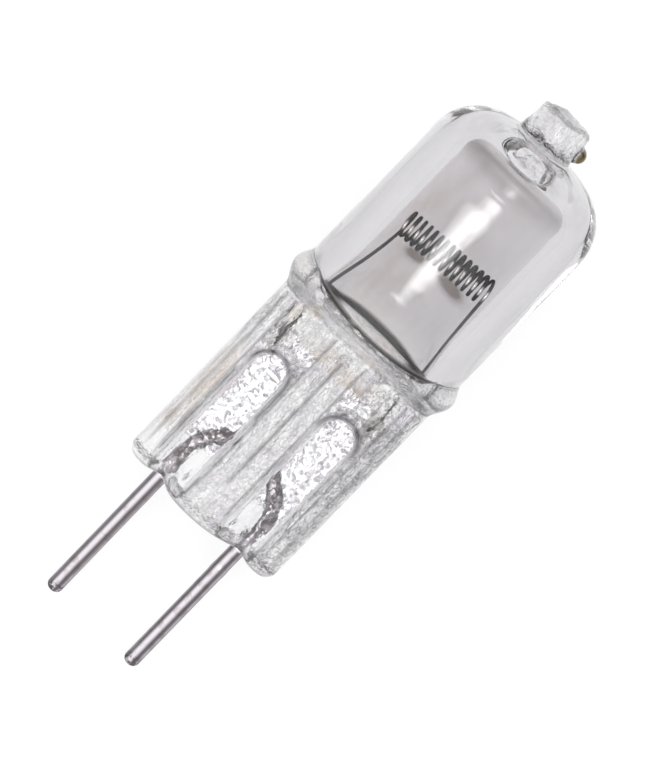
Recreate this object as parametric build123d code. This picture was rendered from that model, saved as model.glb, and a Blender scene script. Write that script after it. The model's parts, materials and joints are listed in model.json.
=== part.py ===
from build123d import *
import os
from math import asin, atan2, cos, degrees, hypot, pi, radians, sin, sqrt, tan

# Low-voltage halogen capsule lamp, in millimetres.
# It is modelled upright: z is the lamp axis with the lower edge of the pinch at zero,
# x runs across the two pins, and the broad face at -y ends up on top.
# At the end it is laid down as it comes to rest, on the belly of the bulb and the pin tips.

# Bulb: thick round quartz tube closed by a flattened dome
BULB_DIAMETER = 11.8
BULB_WALL = 2.15
BULB_SHOULDER = 26.7
DOME_KNUCKLE = 3.2
DOME_CROWN = 14.0
DOME_WALL = 1.55

# Cavity inside the bulb
CAVITY_FLOOR = 15.4
CAVITY_SAG = 0.3
CAVITY_FLARE = 0.4
CAVITY_FLARE_RISE = 3.2
CAVITY_CREASE = 0.22
CAVITY_KNUCKLE = 1.45
CAVITY_CROWN = 9.0

# Exhaust stub on the dome, a little off the axis, its bead and the closed mouth below it
TIP_OFFSET = -0.4
TIP_DIAMETER = 3.4
TIP_BASE_DIAMETER = 3.64
TIP_RISE = 1.74
TIP_FLARE = 0.35
TIP_FLARE_RISE = 0.45
TIP_ROUND = 0.4
TIP_CROWN = 8.0
BEAD_DIAMETER = 0.94
BEAD_LIFT = 0.95
MOUTH_DIAMETER = 1.7
MOUTH_POINT = 0.5
MOUTH_DEPTH = 0.9

# Pinch: the flattened end of the tube, with a bulging neck above it
PINCH_WIDTH = 11.56
PINCH_THICKNESS = 4.5
PINCH_SQUARENESS = 7.0
NECK_START = 13.8
NECK_END = 15.6
EAR_HEIGHT = 15.2
EAR_BULGE = 0.48
EAR_SPAN = 1.3
NECK_SECTIONS = 11
SECTION_POINTS = 32

# Lower edge of the pinch: three lobes with a relief at each pin
LOBE_DROP = 0.3
RELIEF_HEIGHT = 0.4
RELIEF_WIDTH = 1.5
CORNER_RADIUS = 0.9
CORNER_SPARE = 0.05
EDGE_RADIUS = 0.8
CONE_WIDTH = 0.4
CONE_DEPTH = 0.6

# Sunk panels over the foils on both faces, and the seam along the middle rib
PANEL_WIDTH = 3.0
PANEL_TOP = 10.85
PANEL_DEPTH = 0.5
PANEL_DRAFT = 40.0
PANEL_SPARE = 0.3
SEAM_WIDTH = 0.36
SEAM_DEPTH = 0.12
SEAM_LOW = 2.6
SEAM_HIGH = 13.2

# Pins: straight outside, drawn a little thinner inside the glass and hooked to hold there
PIN_SPACING = 6.35
PIN_DIAMETER = 1.0
PIN_LENGTH = 9.75
PIN_TIP_ROUND = 0.42
PIN_ROOT_DIAMETER = 0.92
PIN_STRAIGHT = 2.0
PIN_BEND_RADIUS = 3.2
PIN_BEND_ANGLE = 50.0
PIN_TAIL = 0.9
PIN_GAP = 0.03

# Foils
FOIL_WIDTH = 2.9
FOIL_THICKNESS = 0.04
FOIL_LOW = 3.0
FOIL_HIGH = 12.0
FOIL_INSET = 0.375

# Filament: one tungsten wire, a coil across the bulb and two legs
WIRE_DIAMETER = 0.23
COIL_HEIGHT = 21.5
COIL_DIAMETER = 1.8
COIL_PITCH = 0.44
COIL_TURNS = 14.5
COIL_TILT = 2.5
LEG_INSET = 0.45
LEG_LOW = 10.6
LEG_FLAT = 0.03
LEG_GAP = 0.02

# Sizes that follow from the ones above
bulb_radius = BULB_DIAMETER / 2
cavity_radius = bulb_radius - BULB_WALL
neck_top = max(NECK_END, EAR_HEIGHT + EAR_SPAN)
tip_radius = TIP_DIAMETER / 2
tip_base = TIP_BASE_DIAMETER / 2
bead_radius = BEAD_DIAMETER / 2
pin_radius = PIN_DIAMETER / 2
root_radius = PIN_ROOT_DIAMETER / 2
pin_x = PIN_SPACING / 2
foil_x = pin_x - FOIL_INSET
wire_radius = WIRE_DIAMETER / 2
leg_x = foil_x + FOIL_WIDTH / 2 - LEG_INSET
leg_y = LEG_FLAT - wire_radius
mouth_top = RELIEF_HEIGHT + CONE_DEPTH
half_thickness = PINCH_THICKNESS / 2
half_width = PINCH_WIDTH / 2
outreach = PINCH_WIDTH
foot = -LOBE_DROP - PINCH_THICKNESS


def blend(height):
    """How far the neck has turned from flat (0) to round (1) at a height."""
    share = min(max((height - NECK_START) / (NECK_END - NECK_START), 0), 1)
    return share * share * (3 - 2 * share)


def half_depth(height):
    """Half the front-to-back depth of the glass below the dome."""
    return half_thickness + (bulb_radius - half_thickness) * blend(height)


def section(height):
    """A closed cross-section of pinch or neck, squarish at the pinch and round at the tube."""
    share = blend(height)
    power = 1 / (1 / PINCH_SQUARENESS + (1 / 2 - 1 / PINCH_SQUARENESS) * share)
    wide = half_width + (bulb_radius - half_width) * share
    reach = (height - EAR_HEIGHT) / EAR_SPAN
    if abs(reach) < 1:
        wide += EAR_BULGE * (1 + cos(pi * reach)) / 2
    deep = half_depth(height)
    points = []
    for step in range(SECTION_POINTS):
        turn = 2 * pi * step / SECTION_POINTS
        across = abs(cos(turn)) ** (2 / power)
        through = abs(sin(turn)) ** (2 / power)
        points.append((wide * (across if cos(turn) > 0 else -across),
                       deep * (through if sin(turn) > 0 else -through), height))
    return make_face(Spline(*points, periodic=True))


def dish_rise(radius, knuckle, crown):
    """How far a flattened dome rises above the end of its straight wall."""
    return crown - sqrt((crown - knuckle) ** 2 - (radius - knuckle) ** 2)


def dish(radius, straight_end, knuckle, crown):
    """The outline of a flattened dome, from the end of its straight wall to the axis."""
    reach = radius - knuckle
    top = straight_end + dish_rise(radius, knuckle, crown)
    lean = asin(reach / (crown - knuckle))
    middle = pi / 4 - lean / 2
    meet = (crown * sin(lean), top - crown + crown * cos(lean))
    bend = ThreePointArc((radius, straight_end),
                         (reach + knuckle * cos(middle), straight_end + knuckle * sin(middle)), meet)
    cap = ThreePointArc(meet, (crown * sin(lean / 2), top - crown + crown * cos(lean / 2)), (0, top))
    return [bend, cap]


def spin(lines):
    """Turn a closed outline drawn in the half plane x, z about the lamp axis."""
    return revolve(Plane.XZ * make_face(lines), Axis.Z)


def slab(outline, plane):
    """A closed outline on a plane through the axis, run out past both sides of the lamp."""
    return extrude(plane * make_face(outline), amount=outreach, both=True)


def round_rod(path, radius):
    """A round wire swept along a path."""
    return sweep(Plane(origin=path @ 0, z_dir=path % 0) * Circle(radius), path=path)


def root_path(side, low, extra):
    """The centre line of a pin inside the pinch, up to its hooked end."""
    root = Line((side * pin_x, low), (side * pin_x, PIN_STRAIGHT))
    hook = JernArc(root @ 1, root % 1, PIN_BEND_RADIUS, side * PIN_BEND_ANGLE)
    tail = Line(hook @ 1, hook @ 1 + (hook % 1) * (PIN_TAIL + extra))
    return Plane.XZ * Wire([root, hook, tail])


def leg_path(start, tangent, side, extra):
    """The centre line of a filament leg, from the coil down onto the foil."""
    entry = Vector(side * leg_x, leg_y, CAVITY_FLOOR)
    end = Vector(side * leg_x, leg_y, LEG_LOW - extra)
    return Wire([Spline(start, entry, tangents=(tangent, (0, 0, -1))), Line(entry, end)])


def behind(low, high):
    """The space behind the foil plane between two heights."""
    return Pos(0, outreach / 2, (low + high) / 2) * Box(2 * outreach, outreach, high - low)


# Outside of the pinch: a squarish bar cut to its lobed lower edge and rounded at the corners
pinch = extrude(section(NECK_START), amount=NECK_START - foot, dir=(0, 0, -1))
relief_in = pin_x - RELIEF_WIDTH / 2
relief_out = pin_x + RELIEF_WIDTH / 2
side_x = half_width + CORNER_SPARE
corner = CORNER_RADIUS * (1 - sin(pi / 4))
right_edge = [
    Polyline((relief_in, RELIEF_HEIGHT), (relief_out, RELIEF_HEIGHT), (relief_out, 0),
             (side_x - CORNER_RADIUS, 0)),
    ThreePointArc((side_x - CORNER_RADIUS, 0), (side_x - corner, corner), (side_x, CORNER_RADIUS)),
    Line((side_x, CORNER_RADIUS), (side_x, NECK_END)),
]
lobe = ThreePointArc((-relief_in, RELIEF_HEIGHT), (0, -LOBE_DROP), (relief_in, RELIEF_HEIGHT))
front = right_edge + [lobe, Line((-side_x, NECK_END), (side_x, NECK_END))]
front += [mirror(line, Plane.YZ) for line in right_edge]
side_y = half_thickness + CORNER_SPARE
round_in = EDGE_RADIUS * (1 - sin(pi / 4))
low_edge = -LOBE_DROP
near_edge = [
    Line((0, low_edge), (side_y - EDGE_RADIUS, low_edge)),
    ThreePointArc((side_y - EDGE_RADIUS, low_edge), (side_y - round_in, low_edge + round_in),
                  (side_y, low_edge + EDGE_RADIUS)),
    Line((side_y, low_edge + EDGE_RADIUS), (side_y, NECK_END)),
    Line((side_y, NECK_END), (0, NECK_END)),
]
profile = near_edge + [mirror(line, Plane.YZ) for line in near_edge]
pinch = pinch & slab(front, Plane.XZ) & slab(profile, Plane.YZ)

# Outside of the neck, the bulb with its dome, the exhaust stub and its bead
step = (neck_top - NECK_START) / (NECK_SECTIONS - 1)
neck = loft([section(NECK_START + step * number) for number in range(NECK_SECTIONS - 1)]
            + [Pos(0, 0, neck_top) * Circle(bulb_radius)])
dome_top = BULB_SHOULDER + dish_rise(bulb_radius, DOME_KNUCKLE, DOME_CROWN)
bulb = spin([Line((0, neck_top), (bulb_radius, neck_top)),
             Line((bulb_radius, neck_top), (bulb_radius, BULB_SHOULDER)),
             *dish(bulb_radius, BULB_SHOULDER, DOME_KNUCKLE, DOME_CROWN),
             Line((0, dome_top), (0, neck_top))])
tip_low = dome_top - DOME_WALL / 2
tip_shoulder = dome_top + TIP_RISE
tip_top = tip_shoulder + dish_rise(tip_radius, TIP_ROUND, TIP_CROWN)
tip_foot = tip_base + TIP_FLARE
tip_flare = TangentArc((tip_base, dome_top + TIP_FLARE_RISE), (tip_foot, dome_top), tangent=(0, -1))
tip = spin([Line((0, tip_low), (tip_foot, tip_low)),
            Line((tip_foot, tip_low), (tip_foot, dome_top)),
            tip_flare,
            Line((tip_base, dome_top + TIP_FLARE_RISE), (tip_radius, tip_shoulder)),
            *dish(tip_radius, tip_shoulder, TIP_ROUND, TIP_CROWN),
            Line((0, tip_top), (0, tip_low))])
bead_share = (BEAD_LIFT - TIP_FLARE_RISE) / (TIP_RISE - TIP_FLARE_RISE)
bead_x = tip_base + (tip_radius - tip_base) * bead_share
bead = Pos(bead_x, 0, dome_top + BEAD_LIFT) * Sphere(bead_radius)
glass = pinch + [neck, bulb, Pos(TIP_OFFSET, 0, 0) * tip, Pos(TIP_OFFSET, 0, 0) * bead]

# Cavity: flared to a sagging floor below, domed above, with the closed exhaust mouth
cavity_top = dome_top - DOME_WALL
cavity_shoulder = cavity_top - dish_rise(cavity_radius, CAVITY_KNUCKLE, CAVITY_CROWN)
floor_radius = cavity_radius + CAVITY_FLARE
flare_top = CAVITY_FLOOR + CAVITY_FLARE_RISE
hollow = spin([Line((0, CAVITY_FLOOR - CAVITY_SAG), (floor_radius, CAVITY_FLOOR)),
               TangentArc((cavity_radius, flare_top), (floor_radius, CAVITY_FLOOR), tangent=(0, -1)),
               Line((cavity_radius, flare_top), (cavity_radius, cavity_shoulder)),
               *dish(cavity_radius, cavity_shoulder, CAVITY_KNUCKLE, CAVITY_CROWN),
               Line((0, cavity_top), (0, CAVITY_FLOOR - CAVITY_SAG))])
crease = hollow.edges().filter_by(GeomType.CIRCLE).sort_by(Axis.Z)[0]
hollow = fillet(crease, CAVITY_CREASE)
mouth_middle = cavity_top + MOUTH_DEPTH / 2 - MOUTH_POINT / 2
mouth = Pos(TIP_OFFSET, 0, mouth_middle) * Cone(MOUTH_DIAMETER / 2, MOUTH_POINT / 2,
                                                MOUTH_DEPTH + MOUTH_POINT)

# Sunk panels and seam on both faces
floor_y = half_thickness - PANEL_DEPTH
floor_width = PANEL_WIDTH - 2 * PANEL_DEPTH * tan(radians(PANEL_DRAFT))
floor_top = PANEL_TOP - PANEL_DEPTH * tan(radians(PANEL_DRAFT))
panel_length = floor_top - foot
panel_face = Rot(0, 0, 90) * SlotOverall(panel_length, floor_width)
cuts = [hollow, mouth]
for side in (-1, 1):
    face_plane = Plane(origin=(side * foil_x, -floor_y, floor_top - panel_length / 2),
                       x_dir=(1, 0, 0), z_dir=(0, -1, 0))
    panel = extrude(face_plane * panel_face, amount=PANEL_DEPTH + PANEL_SPARE, taper=-PANEL_DRAFT)
    cuts += [panel, mirror(panel, Plane.XZ)]
seam_slope = SEAM_WIDTH / SEAM_DEPTH / 2
seam_out = seam_slope * (SEAM_DEPTH + PANEL_SPARE)
seam_face = make_face(Polyline((0, SEAM_DEPTH - half_thickness), (seam_out, -half_thickness - PANEL_SPARE),
                               (-seam_out, -half_thickness - PANEL_SPARE), close=True))
seam = extrude(Pos(0, 0, SEAM_LOW) * seam_face, amount=SEAM_HIGH - SEAM_LOW)
cuts += [seam, mirror(seam, Plane.XZ)]

# Coil, level with the middle of the bulb, entering at the back and leaving at the front
coil_length = COIL_PITCH * COIL_TURNS
helix = Helix(COIL_PITCH, coil_length, (COIL_DIAMETER - WIRE_DIAMETER) / 2)
coil_line = Pos(0, 0, COIL_HEIGHT) * Rot(0, -COIL_TILT, 0) * Rot(90, 0, 0) * Rot(0, 90, 0) * (
    Pos(0, 0, -coil_length / 2) * helix)

# Pins, foils, filament, and the spaces they take up in the pinch
parts = {}
filament = round_rod(coil_line, wire_radius)
foil_middle = (FOIL_LOW + FOIL_HIGH) / 2
for side, word, coil_end, way in ((-1, "left", coil_line @ 0, -(coil_line % 0)),
                                  (1, "right", coil_line @ 1, coil_line % 1)):
    foil = Pos(side * foil_x, FOIL_THICKNESS / 2, foil_middle) * Box(FOIL_WIDTH, FOIL_THICKNESS,
                                                                    FOIL_HIGH - FOIL_LOW)
    shank = Pos(side * pin_x, 0, -PIN_LENGTH / 2) * Cylinder(pin_radius, PIN_LENGTH)
    shank = fillet(shank.edges().sort_by(Axis.Z)[0], PIN_TIP_ROUND)
    taper = Pos(side * pin_x, 0, mouth_top / 2) * Cone(pin_radius, root_radius, mouth_top)
    pin = shank + taper + round_rod(root_path(side, mouth_top, 0), root_radius)
    pin_seat = behind(FOIL_LOW - PIN_GAP, FOIL_HIGH)
    pin_space = round_rod(root_path(side, 0, PIN_GAP), root_radius + PIN_GAP)
    cone = Pos(side * pin_x, 0, mouth_top - CONE_DEPTH / 2) * Cone(
        root_radius + CONE_WIDTH, root_radius + PIN_GAP, CONE_DEPTH)
    leg = round_rod(leg_path(coil_end, way, side, 0), wire_radius)
    leg_seat = behind(LEG_LOW - LEG_GAP, FOIL_HIGH + LEG_GAP)
    leg_space = round_rod(leg_path(coil_end, way, side, LEG_GAP), wire_radius + LEG_GAP)
    filament += leg - leg_seat
    cuts += [pin_space - pin_seat, cone, leg_space - leg_seat, foil]
    parts["foil_" + word] = foil
    parts["pin_" + word] = pin - pin_seat
parts["filament"] = filament
parts["quartz_envelope"] = glass - cuts

# Lay the lamp down: the belly of the neck and both pin tips touch the table
tip_ring = pin_radius - PIN_TIP_ROUND
tip_centre = PIN_TIP_ROUND - PIN_LENGTH
tilts = []
for number in range(NECK_SECTIONS * SECTION_POINTS):
    height = NECK_START + (neck_top - NECK_START) * number / (NECK_SECTIONS * SECTION_POINTS - 1)
    lift = half_depth(height) - tip_ring
    run = height - tip_centre
    tilts.append(atan2(lift, run) - asin(PIN_TIP_ROUND / hypot(lift, run)))
lay = Rot(degrees(max(tilts)) - 90, 0, 0)
parts = {name: lay * solid for name, solid in parts.items()}
box = Compound(list(parts.values())).bounding_box()
home = Pos(0, -box.center().Y, -box.min.Z)
os.makedirs("parts", exist_ok=True)
for name, solid in parts.items():
    export_step(home * solid, f"parts/{name}.step")
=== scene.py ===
"""A clear two-pin halogen capsule lamp lying on a white table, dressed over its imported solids.

Sizes are millimetres in the lamp's own upright frame: Z is the lamp axis with the lower edge of the pinch at
zero, X runs across the two pins, and the broad face at -Y is the one that ends up on top. LampFrame lays it
down.
"""

import json
import logging
import math
from dataclasses import dataclass
from enum import Enum

import bpy
import numpy as np
from mathutils import Matrix, Vector


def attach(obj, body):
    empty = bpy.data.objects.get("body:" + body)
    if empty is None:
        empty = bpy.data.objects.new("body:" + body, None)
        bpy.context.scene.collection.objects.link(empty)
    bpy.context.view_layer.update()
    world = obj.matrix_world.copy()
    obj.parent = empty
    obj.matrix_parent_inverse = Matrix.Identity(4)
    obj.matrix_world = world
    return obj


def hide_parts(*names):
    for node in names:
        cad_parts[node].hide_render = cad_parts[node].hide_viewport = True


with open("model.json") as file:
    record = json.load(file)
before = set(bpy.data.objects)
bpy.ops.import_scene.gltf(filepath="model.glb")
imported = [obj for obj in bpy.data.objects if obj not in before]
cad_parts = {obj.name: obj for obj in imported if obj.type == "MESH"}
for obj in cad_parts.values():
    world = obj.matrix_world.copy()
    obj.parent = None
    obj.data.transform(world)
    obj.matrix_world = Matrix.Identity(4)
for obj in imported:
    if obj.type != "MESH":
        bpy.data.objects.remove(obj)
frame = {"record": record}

LOG = logging.getLogger("halogen_capsule")
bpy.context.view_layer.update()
MILLIMETRE = 0.001
Colour = tuple[float, float, float]
Pair = tuple[float, float]


class Side(Enum):
    """One of the two pins, foils or legs, seen from the face that looks up."""

    LEFT = -1
    RIGHT = 1

    @property
    def word(self) -> str:
        """The side's name as the nodes spell it."""
        return self.name.lower()


def smooth_step(low: float, high: float, value: np.ndarray) -> np.ndarray:
    """A soft rise from 0 at low to 1 at high."""
    share = np.clip((value - low) / (high - low), 0.0, 1.0)
    return share * share * (3.0 - 2.0 * share)


@dataclass(frozen=True)
class Ripple:
    """The unevenness that hot glass or thin foil keeps, made of waves with a fixed seed.

    Attributes:
        seed: Fixes the waves' headings, lengths and phases.
        wavelength: The middle wavelength in millimetres.
        stretch: How much longer the waves are along the lamp than across it.
        waves: How many waves are summed.
    """

    seed: int
    wavelength: float
    stretch: float = 1.0
    waves: int = 28

    def at(self, across: np.ndarray, along: np.ndarray) -> np.ndarray:
        """The ripple's height, about one in size, at points of a surface."""
        draw = np.random.default_rng(self.seed)
        headings = draw.uniform(0.0, 2.0 * math.pi, self.waves)
        pitches = 2.0 * math.pi / (self.wavelength * draw.uniform(0.6, 1.7, self.waves))
        phases = draw.uniform(0.0, 2.0 * math.pi, self.waves)
        total = np.zeros(np.broadcast(across, along).shape)
        for heading, pitch, phase in zip(headings, pitches, phases):
            run = math.cos(heading) * across + math.sin(heading) * along / self.stretch
            total += np.sin(pitch * run + phase)
        return total / math.sqrt(self.waves / 2.0)


@dataclass(frozen=True)
class LampFrame:
    """Where the upright lamp lies in the row frame.

    Attributes:
        matrix: Takes millimetres of the upright lamp to metres of the row frame.
    """

    matrix: Matrix

    @classmethod
    def from_record(cls, record: dict) -> "LampFrame":
        """Reads how the lamp lies from the mounts at the roots of its two pins."""
        mounts = {mount["name"]: mount for mount in record["mounts"]}
        left, right = (Vector(mounts[f"pin_{side.word}"]["pos_m"]) for side in Side)
        along = -Vector(mounts["pin_left"]["axis"]).normalized()
        across = (right - left).normalized()
        turn = Matrix((across, along.cross(across), along)).transposed().to_4x4()
        return cls(Matrix.Translation((left + right) / 2) @ turn @ Matrix.Scale(MILLIMETRE, 4))

    def lay(self, mesh: bpy.types.Mesh) -> None:
        """Moves a mesh from the upright lamp to the row frame."""
        mesh.transform(self.matrix)
        mesh.update()

    def pattern_space(self, graph: "Graph") -> bpy.types.NodeSocket:
        """Object coordinates turned back to millimetres of the upright lamp."""
        place, turn, _ = self.matrix.decompose()
        return graph.add("ShaderNodeMapping", {
            "Vector": graph.add("ShaderNodeTexCoord").outputs["Object"],
            "Location": place, "Rotation": turn.to_euler(), "Scale": (MILLIMETRE,) * 3,
        }, vector_type="TEXTURE").outputs["Vector"]


class Graph:
    """Fills a shader or geometry node tree, one node at a time."""

    def __init__(self, tree: bpy.types.NodeTree) -> None:
        """Takes a node tree and empties it."""
        tree.nodes.clear()
        self.tree = tree

    def add(self, kind: str, inputs: dict | None = None, **settings: object) -> bpy.types.Node:
        """Adds a node.

        Args:
            kind: The node's type.
            inputs: A plain value or another node's output for each input, by its name or number.
            **settings: The node's own options.

        Returns:
            The new node.
        """
        node = self.tree.nodes.new(kind)
        for key, value in settings.items():
            setattr(node, key, value)
        for key, value in (inputs or {}).items():
            if isinstance(value, bpy.types.NodeSocket):
                self.tree.links.new(value, node.inputs[key])
            else:
                node.inputs[key].default_value = value
        return node

    def attribute(self, name: str) -> bpy.types.NodeSocket:
        """The value that a mesh carries under a name."""
        return self.add("ShaderNodeAttribute", attribute_name=name).outputs["Fac"]

    def noise(self, vector: bpy.types.NodeSocket, scale: float, detail: float = 2.0,
              stretch: Colour = (1.0, 1.0, 1.0)) -> bpy.types.NodeSocket:
        """Cloudy noise.

        Args:
            vector: The space it is laid in.
            scale: Clouds to the millimetre.
            detail: How many finer layers it has.
            stretch: Factor on each axis of the space.

        Returns:
            The noise's value.
        """
        spread = self.add("ShaderNodeVectorMath", {0: vector, 1: stretch}, operation="MULTIPLY")
        return self.add("ShaderNodeTexNoise", {"Vector": spread.outputs[0], "Scale": scale,
                                               "Detail": detail}).outputs["Fac"]

    def maths(self, operation: str, first: object, second: object = 0.0) -> bpy.types.NodeSocket:
        """One sum on two values."""
        return self.add("ShaderNodeMath", {0: first, 1: second}, operation=operation).outputs[0]

    def rise(self, value: bpy.types.NodeSocket, low: float, high: float,
             start: float = 0.0, end: float = 1.0) -> bpy.types.NodeSocket:
        """A value taken from low..high to start..end and held there outside it."""
        return self.add("ShaderNodeMapRange", {"Value": value, "From Min": low, "From Max": high,
                                               "To Min": start, "To Max": end}).outputs["Result"]

    def blend(self, share: object, first: object, second: object) -> bpy.types.NodeSocket:
        """One colour turning into another."""
        pair = [(*colour, 1.0) if isinstance(colour, tuple) else colour for colour in (first, second)]
        return self.add("ShaderNodeMix", {0: share, 6: pair[0], 7: pair[1]}, data_type="RGBA").outputs[2]


def new_material(name: str) -> tuple[bpy.types.Material, Graph]:
    """An empty node material and its graph."""
    material = bpy.data.materials.new(name)
    material.use_nodes = True
    return material, Graph(material.node_tree)


@dataclass(frozen=True)
class Cloud:
    """A cloudy pattern in a finish.

    Attributes:
        scale: Clouds to the millimetre.
        detail: How many finer layers it has.
        along: Factor along the lamp, less than 1 for long clouds.
        low: Value of the noise where the pattern begins.
        high: Value of the noise where it is full.
    """

    scale: float
    detail: float
    along: float = 1.0
    low: float = 0.0
    high: float = 1.0

    def noise(self, graph: Graph, space: bpy.types.NodeSocket) -> bpy.types.NodeSocket:
        """The bare noise."""
        return graph.noise(space, self.scale, self.detail, (1.0, 1.0, self.along))

    def at(self, graph: Graph, space: bpy.types.NodeSocket, start: float = 0.0,
           end: float = 1.0) -> bpy.types.NodeSocket:
        """The noise taken from low..high to start..end."""
        return graph.rise(self.noise(graph, space), self.low, self.high, start, end)


@dataclass(frozen=True)
class QuartzFinish:
    """Clear fused quartz: fire polished where it is blown, uneven and cloudy where the jaws pressed it.

    Attributes:
        name: The material's name.
        clear: Tint of clean glass.
        veil: Tint of the faint patches on it.
        pressed_clear: Tint of clean pressed glass.
        pressed_veil: Tint of the patches on it.
        scorch: Tint where the seal was burnt brown on the outside, and of the painted shade inside the cavity.
        stain_tint: Tint of the tan stains that the seal left.
        vein_tint: Tint of the fine lines in rumpled glass, partly painted shade in its crumples.
        vein_width: How far from the middle of its noise a line reaches.
        vein_depth: How strong the lines are, up to 1.
        drawn_depth: How strong the long lines are beside the short ones.
        speck_depth: How strong the specks are beside the short lines.
        crease_tint: Tint of the painted shade along the pinch's edges, grooves and lines.
        index: Index of refraction.
        pressed_roughness: How much pressed faces scatter.
        pressed_relief: Depth of the fine press marks in millimetres.
        patches: Faint patches on blown glass.
        pressed_patches: Patches on pressed glass.
        long_lines: Noise of the lines drawn along the lamp.
        short_lines: Noise of the lines that run every way.
        specks: Small dark specks between the lines.
        streaks: Noise of the streaks along the pinch.
        streak_stain: Pair of the streaks that breaks the stains, and how much stain the lowest leaves.
        streak_crease: Pair of the streaks that breaks that painted shade, and how much of it the lowest
            leaves.
        grain: Fine grain of pressed glass, and its range in the roughness.
    """

    name: str
    clear: Colour
    veil: Colour
    pressed_clear: Colour = (1.0, 1.0, 1.0)
    pressed_veil: Colour = (0.80, 0.77, 0.82)
    scorch: Colour = (0.10, 0.07, 0.015)
    stain_tint: Colour = (0.74, 0.64, 0.55)
    vein_tint: Colour = (0.05, 0.048, 0.05)
    vein_width: float = 0.04
    vein_depth: float = 0.75
    drawn_depth: float = 0.6
    speck_depth: float = 0.7
    crease_tint: Colour = (0.012, 0.013, 0.02)
    index: float = 1.458
    pressed_roughness: float = 0.14
    pressed_relief: float = 0.05
    patches: Cloud = Cloud(0.5, 3.0, along=0.6, low=0.38, high=0.62)
    pressed_patches: Cloud = Cloud(1.1, 3.0, along=0.3, low=0.48, high=0.64)
    long_lines: Cloud = Cloud(1.3, 2.0, along=0.12)
    short_lines: Cloud = Cloud(1.7, 3.0, along=0.75)
    specks: Cloud = Cloud(4.2, 2.0, along=0.6, low=0.54, high=0.64)
    streaks: Cloud = Cloud(2.4, 3.0, along=0.25)
    streak_stain: tuple[float, float, float] = (0.4, 0.6, 0.3)
    streak_crease: tuple[float, float, float] = (0.36, 0.56, 0.75)
    grain: Cloud = Cloud(5.0, 2.0, low=0.35, high=0.7)

    def vein(self, graph: Graph, noise: bpy.types.NodeSocket) -> bpy.types.NodeSocket:
        """Thin lines where a noise passes its middle value."""
        off_middle = graph.maths("ABSOLUTE", graph.maths("SUBTRACT", noise, 0.5))
        return graph.rise(off_middle, 0.0, self.vein_width, 1.0, 0.0)

    def veins(self, graph: Graph, space: bpy.types.NodeSocket) -> bpy.types.NodeSocket:
        """The fine lines and specks of rumpled glass, partly painted shade in its crumples."""
        drawn = self.vein(graph, self.long_lines.noise(graph, space))
        drawn = graph.maths("MULTIPLY", drawn, self.drawn_depth)
        lines = graph.maths("MAXIMUM", drawn, self.vein(graph, self.short_lines.noise(graph, space)))
        lines = graph.maths("MAXIMUM", lines, self.specks.at(graph, space, end=self.speck_depth))
        rumple = graph.maths("MULTIPLY", graph.attribute("rumple"), self.vein_depth)
        return graph.maths("MULTIPLY", lines, rumple)

    def broken(self, graph: Graph, name: str, streaks: bpy.types.NodeSocket,
               gaps: tuple[float, float, float]) -> bpy.types.NodeSocket:
        """A value of the mesh, broken by the streaks."""
        low, high, least = gaps
        return graph.maths("MULTIPLY", graph.attribute(name), graph.rise(streaks, low, high, least, 1.0))

    def tint(self, graph: Graph, space: bpy.types.NodeSocket, pressed: bpy.types.NodeSocket,
             streaks: bpy.types.NodeSocket) -> bpy.types.NodeSocket:
        """Builds the glass's colour.

        Args:
            graph: The material's graph.
            space: The space of the patterns.
            pressed: How much the jaws pressed the glass.
            streaks: The noise of the streaks.

        Returns:
            The colour.
        """
        patches = graph.maths("MULTIPLY", self.patches.at(graph, space), graph.attribute("haze"))
        tint = graph.blend(patches, self.clear, self.veil)
        # Painted light: a band of the bulb's front takes the lighter tint of clean pressed glass.
        tint = graph.blend(graph.attribute("clean"), tint, self.pressed_clear)
        cloudy = graph.blend(self.pressed_patches.at(graph, space), self.pressed_clear, self.pressed_veil)
        tint = graph.blend(pressed, tint, cloudy)
        tint = graph.blend(self.broken(graph, "stain", streaks, self.streak_stain), tint, self.stain_tint)
        # Fine lines of rumpled glass, partly painted shade in its crumples.
        tint = graph.blend(self.veins(graph, space), tint, self.vein_tint)
        # Painted shade along the pinch's edges, grooves and lines.
        tint = graph.blend(self.broken(graph, "crease", streaks, self.streak_crease), tint, self.crease_tint)
        # Brown burn on the outside's bead; inside the cavity this colour is painted shade.
        return graph.blend(graph.attribute("scorch"), tint, self.scorch)

    def material(self, lamp: LampFrame) -> bpy.types.Material:
        """Builds the material.

        Args:
            lamp: Where the lamp lies, for the patterns.

        Returns:
            The new material.
        """
        material, graph = new_material(self.name)
        space = lamp.pattern_space(graph)
        pressed = graph.attribute("pressed")
        streaks = self.streaks.noise(graph, space)
        grain = self.grain.noise(graph, space)
        marks = graph.maths("MULTIPLY", graph.maths("ADD", streaks, grain), pressed)
        relief = graph.add("ShaderNodeBump", {"Strength": 1.0, "Height": marks,
                                              "Distance": self.pressed_relief * MILLIMETRE})
        rough = graph.rise(grain, self.grain.low, self.grain.high, 0.0, self.pressed_roughness)
        glass = graph.add("ShaderNodeBsdfPrincipled", {
            "Base Color": self.tint(graph, space, pressed, streaks),
            "Roughness": graph.maths("MULTIPLY", rough, pressed), "IOR": self.index,
            "Transmission Weight": graph.maths("SUBTRACT", 1.0, graph.attribute("milk")),
            "Normal": relief.outputs["Normal"]})
        graph.add("ShaderNodeOutputMaterial", {"Surface": glass.outputs["BSDF"]})
        return material


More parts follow.
